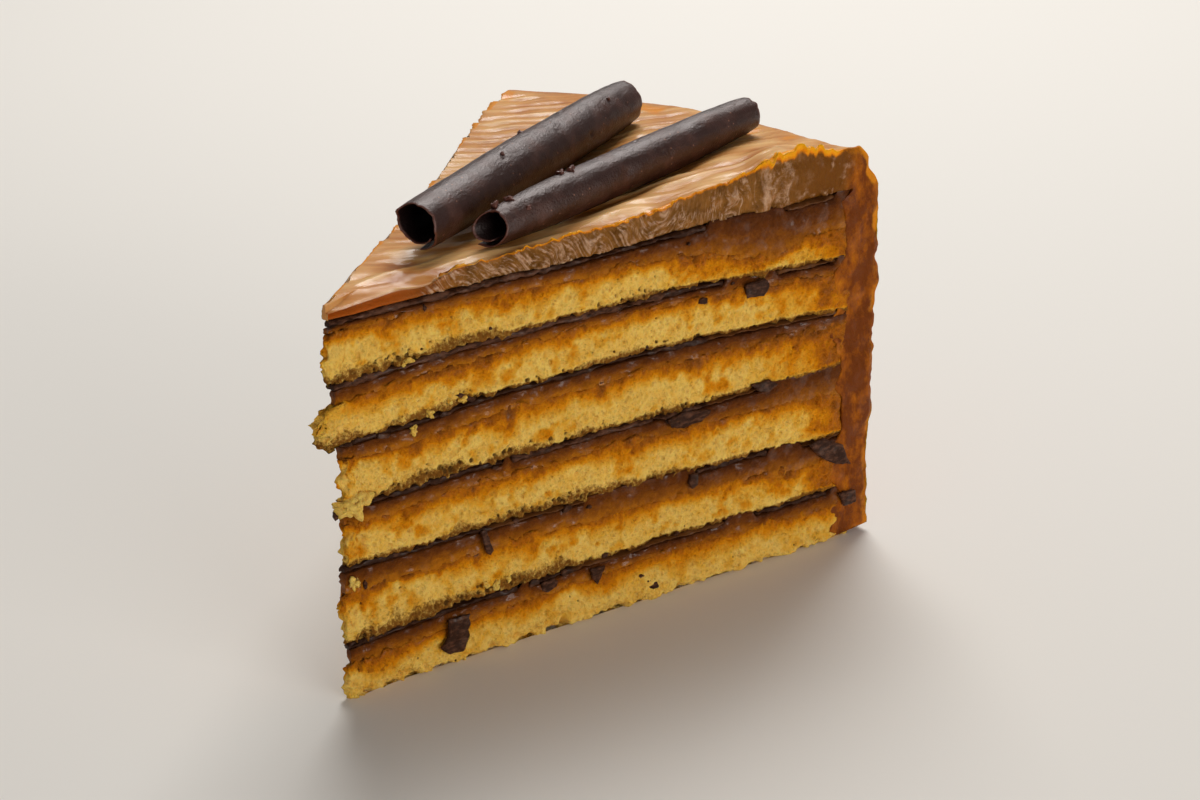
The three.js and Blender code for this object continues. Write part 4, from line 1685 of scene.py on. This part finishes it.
# %% The colour of its rim
rim_tone = milky.noise(8.0, detail=4.0, rough=0.55, stretch=(1, 1, 1.8)) + milky.value("rise") * 0.06
rim_stops = [(0.28, RIM_BROWN), (0.62, RIM_AMBER), (0.9, RIM_GOLD)]
rim_colour = milky.ramp(rim_tone, rim_stops)
outside_colour = milky.mixed(milky.step(milky.value("rim"), 0.35, 0.95), top_colour, rim_colour)
# On the cut the rim is paler inside, where it soaks into the layers, and dark at its outer skin.
rim_cut_noise = milky.noise(3.6, detail=5.0, rough=0.65, stretch=(1, 1, 0.7))
rim_cut_tone = rim_cut_noise * 2.2 - 0.42 - milky.step(milky.value("outwards"), 0.95, 1.0) * 0.3
rim_cut_colour = milky.ramp(rim_cut_tone, rim_stops)

# %% The look of the frosting, and its piece
coat_cut = milky.mixed(milky.step(milky.value("rim"), 0.2, 0.8), cut_colour, rim_cut_colour)
cut_share = milky.step(milky.value("cut"), 0.35, 0.8)
body_colour = milky.mixed(cut_share, outside_colour, coat_cut)
glow_share = milky.step(milky.value("glow") + fine * 0.5, 0.2, 0.7)
body_colour = milky.mixed(glow_share * 0.9, body_colour, AMBER_DEEP)
# The fringe's orange, painted brighter towards its thin upper edge as a glow where light shines through.
fringe_level = milky.value("fringe") + fine * 0.5
fringe_colour = milky.mixed(milky.step(fringe_level, 0.35, 0.8), FRINGE_ORANGE, AMBER_EDGE_GLOW)
folding = milky.noise(1.9, detail=4.0, rough=0.6, stretch=(1, 1, 0.7)) * (milky.value("wrinkle") + 0.1)
wet = milky.step(milky.noise(4.0, detail=3.0, stretch=(1, 1, 1)), 0.5, 0.62)
wet_top = (0.22 + wet * 0.3 + milky.step(milky.value("outwards"), 0.6, 0.2) * 0.08) * (1 - cut_share)
wet_cut = sheen * 0.5 + wet * milky.value("rim") * 0.2 + 0.03
milky.set(
    Base_Color=milky.mixed(milky.step(fringe_level, 0.1, 0.5), body_colour, fringe_colour),
    Roughness=0.5 + milky.noise(2.0, detail=3.0) * 0.2,
    Normal=milky.bump(folding + fold_lines * 0.3 * cut_share + stroke_noise * 0.2 * (1 - cut_share), 1.0),
    Coat_Weight=wet_top + wet_cut * cut_share,
    Coat_Roughness=0.18,
    Subsurface_Weight=0.2,
    Subsurface_Scale=0.002,
    Subsurface_Radius=(1.0, 0.5, 0.2),
    Specular_IOR_Level=0.1,
)
piece("milky_coat", [frosting_body()], milky.material, ["frosting"])

# %% [markdown]
# ## Chocolate rolls
#
# Each roll is a thin sheet of tempered chocolate rolled to a hollow tube, so its end shows a spiral and an
# inside that is painted darker as shade. A cylinder with a hole would have no overlap and no seam. A block
# of one thin layer is bent round a spiral instead. Its axis and its radii are measured on the solid.


# %% Measuring a roll
wall = 0.8
overlap = 1.14
per_turn = 1.0
# The turn, counted round the axis, at which each sheet's inner edge lies.
seams = {"roll_1": 0.1, "roll_2": 0.19}
station_count = 7
station_reach = 7
nearly_whole = (4, 96)
usual = 60
under_corners = 0.1


def away_from_line(points, middle, way):
    """How far points lie from the line through a middle."""
    return np.linalg.norm(np.cross(points - middle, way), axis=1)


def measure_roll(node):
    """The roll's end points, length and sideways directions, and a table of its outer radius along it."""
    points = corners_of(node)
    middle = points.mean(0)
    way = np.linalg.svd(points - middle)[2][0]
    way = way * np.sign(way[1])
    along = (points - middle) @ way
    start, end = np.percentile(along, nearly_whole)
    side = np.cross(way, (0, 0, 1))
    side /= np.linalg.norm(side)
    top = np.cross(side, way)
    # The spiral's overlap weighs on one side, so the middle of its corners lies a little off its axis.
    turns = np.linspace(0, 1, 21)
    angle = -2 * np.pi * (seams[node] + turns * overlap)
    typical = np.percentile(away_from_line(points, middle, way), usual)
    off_axis = typical * np.array([np.cos(angle).mean(), np.sin(angle).mean()])
    middle = middle - side * off_axis[0] - top * off_axis[1]
    apart = away_from_line(points, middle, way)
    stations = np.linspace(start, end, station_count)
    radii = [apart[np.abs(along - station) < station_reach].max() - under_corners for station in stations]
    first, last = middle + way * start, middle + way * end
    length = np.linalg.norm(last - first)
    return {"start": first, "end": last, "length": length, "side": side, "top": top, "radii": radii}


rolls = {name: measure_roll(name) for name in seams}
for name, found in rolls.items():
    print(name, "length", found["length"].round(1), "radii", np.round(found["radii"], 2))

# %% The skin of a roll
roll_seeds = {"roll_1": 191, "roll_2": 197}
# Each dent: share along, turn at which it lies, depth and size in millimetres.
dents = {
    "roll_1": [(0.62, 0.83, 0.15, 1.6), (0.3, 0.9, 0.15, 2.5)],
    "roll_2": [(0.72, 0.8, 0.3, 4.0), (0.45, 0.95, 0.25, 1.4)],
}
about_radius = 5
about_girth = 30


def spiral_radius(name, along, around):
    """The outer radius of the sheet, which winds outwards as it goes round."""
    outermost = np.interp(along, np.linspace(0, 1, station_count), rolls[name]["radii"])
    return outermost - per_turn * overlap * (1 - around)


def roll_relief(name, angle, turn, along):
    """Slow waves of the rolled sheet, small pits where crumbs pulled off, specks, and the dents."""
    seed = roll_seeds[name]
    length = rolls[name]["length"]
    skin = np.stack([np.cos(angle) * about_radius, np.sin(angle) * about_radius, along * length], -1)
    waves = 0.14 * uneven(squeezed(skin, third=0.35), size=5.5, seed=seed, octaves=2)
    waves = waves + 0.05 * uneven(skin, size=1.6, seed=seed + 2, octaves=2)
    pits = 0.28 * pores(skin, size=2.1, seed=seed + 4, share=0.16, smallest=0.12, largest=0.26)
    specks = 0.12 * pores(skin, size=1.3, seed=seed + 9, share=0.14, smallest=0.12, largest=0.28)
    hollows = 0
    for where, at_turn, depth, size in dents[name]:
        off = (turn - at_turn + 0.5) % 1 - 0.5
        hollows = hollows + depth * bell(np.hypot((along - where) * length, off * about_girth), size)
    return waves - pits + specks - hollows


# %% The mouths of a roll
mouths = {"roll_1": {"slant": -0.4, "jag": 0.8}, "roll_2": {"slant": 1.5, "jag": 0.4}}
flap_turn = 0.62


def mouth_shift(name, angle, near_end, far_end):
    """Each end is bitten unevenly. The near mouth is cut at a slant, and the more jagged one has a flap."""
    seed = roll_seeds[name]
    jag = mouths[name]["jag"]
    places = np.stack([np.cos(angle) * about_radius, np.sin(angle) * about_radius, 0 * angle + seed], -1)
    bites = 0.5 * uneven(places, size=4.5, seed=seed + 5)
    bites = bites + 0.4 * uneven(places, size=1.3, seed=seed + 6, octaves=3)
    off_flap = (angle + 2 * np.pi * flap_turn + np.pi) % (2 * np.pi) - np.pi
    flap = 1.2 * bell(off_flap, 0.3) * (jag > 0.5)
    slanted = mouths[name]["slant"] * np.cos(angle - 0.6) - flap
    far_bites = 0.5 * uneven(places + 30, size=2.6, seed=seed + 7, octaves=3)
    return (jag * bites + slanted) * near_end + far_bites * far_end


# %% The body of a roll
around_cells = 110
roll_cells = 150
mouth_length = 6
thin_length = 4


def roll_body(name):
    """A thin sheet that is wound to a tube, with its dents and its two mouths."""
    found = rolls[name]
    length = found["length"]
    shares, quads, _ = block(around_cells, roll_cells, 1)
    around, along, outside = shares.T
    turn = seams[name] + around * overlap
    angle = -2 * np.pi * turn
    relief = roll_relief(name, angle, turn, along)
    radius = spiral_radius(name, along, around) + relief * (0.3 + 0.7 * outside)
    radius = radius - wall * (1 - outside) * (1 - 0.5 * fading(along * length, thin_length))
    near_end = fading(along * length, mouth_length)
    far_end = fading((1 - along) * length, mouth_length)
    # The wall thins out at both mouths.
    radius = radius - 0.12 * (near_end**4 + far_end**4) * (outside * 2 - 1)
    axis = found["start"] + (found["end"] - found["start"]) * along[:, None]
    forward = (found["end"] - found["start"]) / length
    points = axis + forward * mouth_shift(name, angle, near_end, far_end)[:, None]
    points = points + found["side"] * (radius * np.cos(angle))[:, None]
    points = points + found["top"] * (radius * np.sin(angle))[:, None]
    return body(points, quads, lip=np.maximum(near_end**9, far_end**9), inside=1 - outside)


# %% The look of the rolls
ROLL_BROWN = linear(44, 18, 11)
ROLL_GREY = linear(100, 62, 50)
ROLL_FLECK = linear(150, 104, 84)
ROLL_INSIDE_SHADE = linear(26, 14, 13)
LIP_BROWN = linear(92, 48, 36)

satin = Look("satin dark chocolate")
bloom = satin.step(satin.noise(5.0, detail=5.0, rough=0.6), 0.42, 0.75)
flecks = satin.step(satin.cells(1.7), 0.13, 0.06)
skin_colour = satin.mixed(flecks * 0.7, satin.mixed(bloom * 0.4, ROLL_BROWN, ROLL_GREY), ROLL_FLECK)
granular = satin.noise(0.45, detail=3.0, rough=0.7)
# Painted shade: the inner side of the wound sheet is darker than its outer skin.
shown = satin.mixed(satin.step(satin.value("inside"), 0.5, 0.9), skin_colour, ROLL_INSIDE_SHADE)
satin.set(
    Base_Color=satin.mixed(satin.step(satin.value("lip"), 0.3, 0.9), shown, LIP_BROWN),
    Roughness=0.28 + bloom * 0.1 + granular * 0.1,
    Normal=satin.bump(granular, 0.15),
    Specular_IOR_Level=0.62,
    Specular_Tint=(1.0, 0.88, 0.86, 1.0),
)


# %% The crumbs on the rolls
# Each crumb: share along, turn and size in millimetres.
roll_crumbs = {
    "roll_1": [(0.52, 0.68, 0.9), (0.36, 0.8, 0.6), (0.86, 0.84, 0.7)],
    "roll_2": [(0.27, 0.72, 1.3), (0.3, 0.76, 1.0), (0.035, 0.7, 1.4), (0.08, 0.74, 1.2), (0.1, 0.9, 0.7)],
}
first_crumb_seeds = {"roll_1": 2, "roll_2": 4}


def crumbs_on(name):
    """The crumbs that stick to a roll, on the outermost turn of its sheet."""
    found = rolls[name]
    crumbs = []
    for seed, (along, turn, size) in enumerate(roll_crumbs[name], first_crumb_seeds[name]):
        angle = -2 * np.pi * turn
        around = (turn - seams[name]) % 1 / overlap
        around = around + (1 / overlap if around + 1 / overlap <= 1 else 0)
        reach = spiral_radius(name, along, around)
        place = found["start"] + (found["end"] - found["start"]) * along
        place = place + found["side"] * reach * np.cos(angle) + found["top"] * reach * np.sin(angle)
        crumbs.append(loose_crumb(place, size, seed, lip=1.0, inside=0.0))
    return crumbs


for number, name in enumerate(rolls, 1):
    parts = [roll_body(name), *crumbs_on(name)]
    piece(f"curl_{number}", parts, satin.material, [name])

# %% [markdown]
# ## Floor, light and camera
#
# Food is photographed in broad soft light, so that gloss shows as wide pale streaks. A big window-like
# lamp stands behind to the left, a weaker one fills the near side, and the sky gives the rest.

# %% The floor
floor_half = 3.0
floor_look = Look("pale floor")
floor_look.set(Base_Color=linear(226, 222, 216), Roughness=0.7)
floor_corners = [(x * floor_half, y * floor_half, 0) for x, y in ((-1, -1), (1, -1), (1, 1), (-1, 1))]
floor_mesh = bpy.data.meshes.new("floor")
floor_mesh.from_pydata(floor_corners, [], [(0, 1, 2, 3)])
floor_mesh.materials.append(floor_look.material)
floor = bpy.data.objects.new("floor", floor_mesh)
bpy.context.scene.collection.objects.link(floor)

# %% The lamps
warm_white = (1.0, 0.985, 0.96)
warmer_white = (1.0, 0.97, 0.93)
slice_middle = (0, 0, 40)
lamp_size = 600


def lamp(name, place, power, colour):
    """A square area lamp that looks at the slice, in millimetres and watts."""
    light = bpy.data.lights.new(name, "AREA")
    light.size = lamp_size * MM
    light.energy = power
    light.color = colour
    made = bpy.data.objects.new(name, light)
    bpy.context.scene.collection.objects.link(made)
    made.location = Vector(place) * MM
    made.visible_camera = False
    made.rotation_euler = (Vector(slice_middle) - Vector(place)).to_track_quat("-Z", "Y").to_euler()


lamp("window", place=(-290, 560, 820), power=9.0, colour=warm_white)
lamp("side", place=(880, -170, 190), power=4.2, colour=warmer_white)

# %% The sky
sky_strength = 0.2
world = bpy.data.worlds.new("sky")
world.use_nodes = True
background = world.node_tree.nodes["Background"].inputs
background["Color"].default_value = (*warm_white, 1)
background["Strength"].default_value = sky_strength
bpy.context.scene.world = world
bpy.context.scene.view_settings.view_transform = "Standard"

# %% The camera
focal_length = 74.95
sensor_width = 36.0
camera_place = Vector((256.70, -334.14, 226.27)) * MM
view_way = Vector((-0.53509, 0.73770, -0.41167))
camera_roll = math.radians(-0.841)
camera_data = bpy.data.cameras.new("camera")
camera_data.lens = focal_length
camera_data.sensor_width = sensor_width
camera = bpy.data.objects.new("camera", camera_data)
bpy.context.scene.collection.objects.link(camera)
facing = view_way.to_track_quat("-Z", "Y").to_matrix().to_4x4()
camera.matrix_world = Matrix.Translation(camera_place) @ facing @ Matrix.Rotation(camera_roll, 4, "Z")
bpy.context.scene.camera = camera
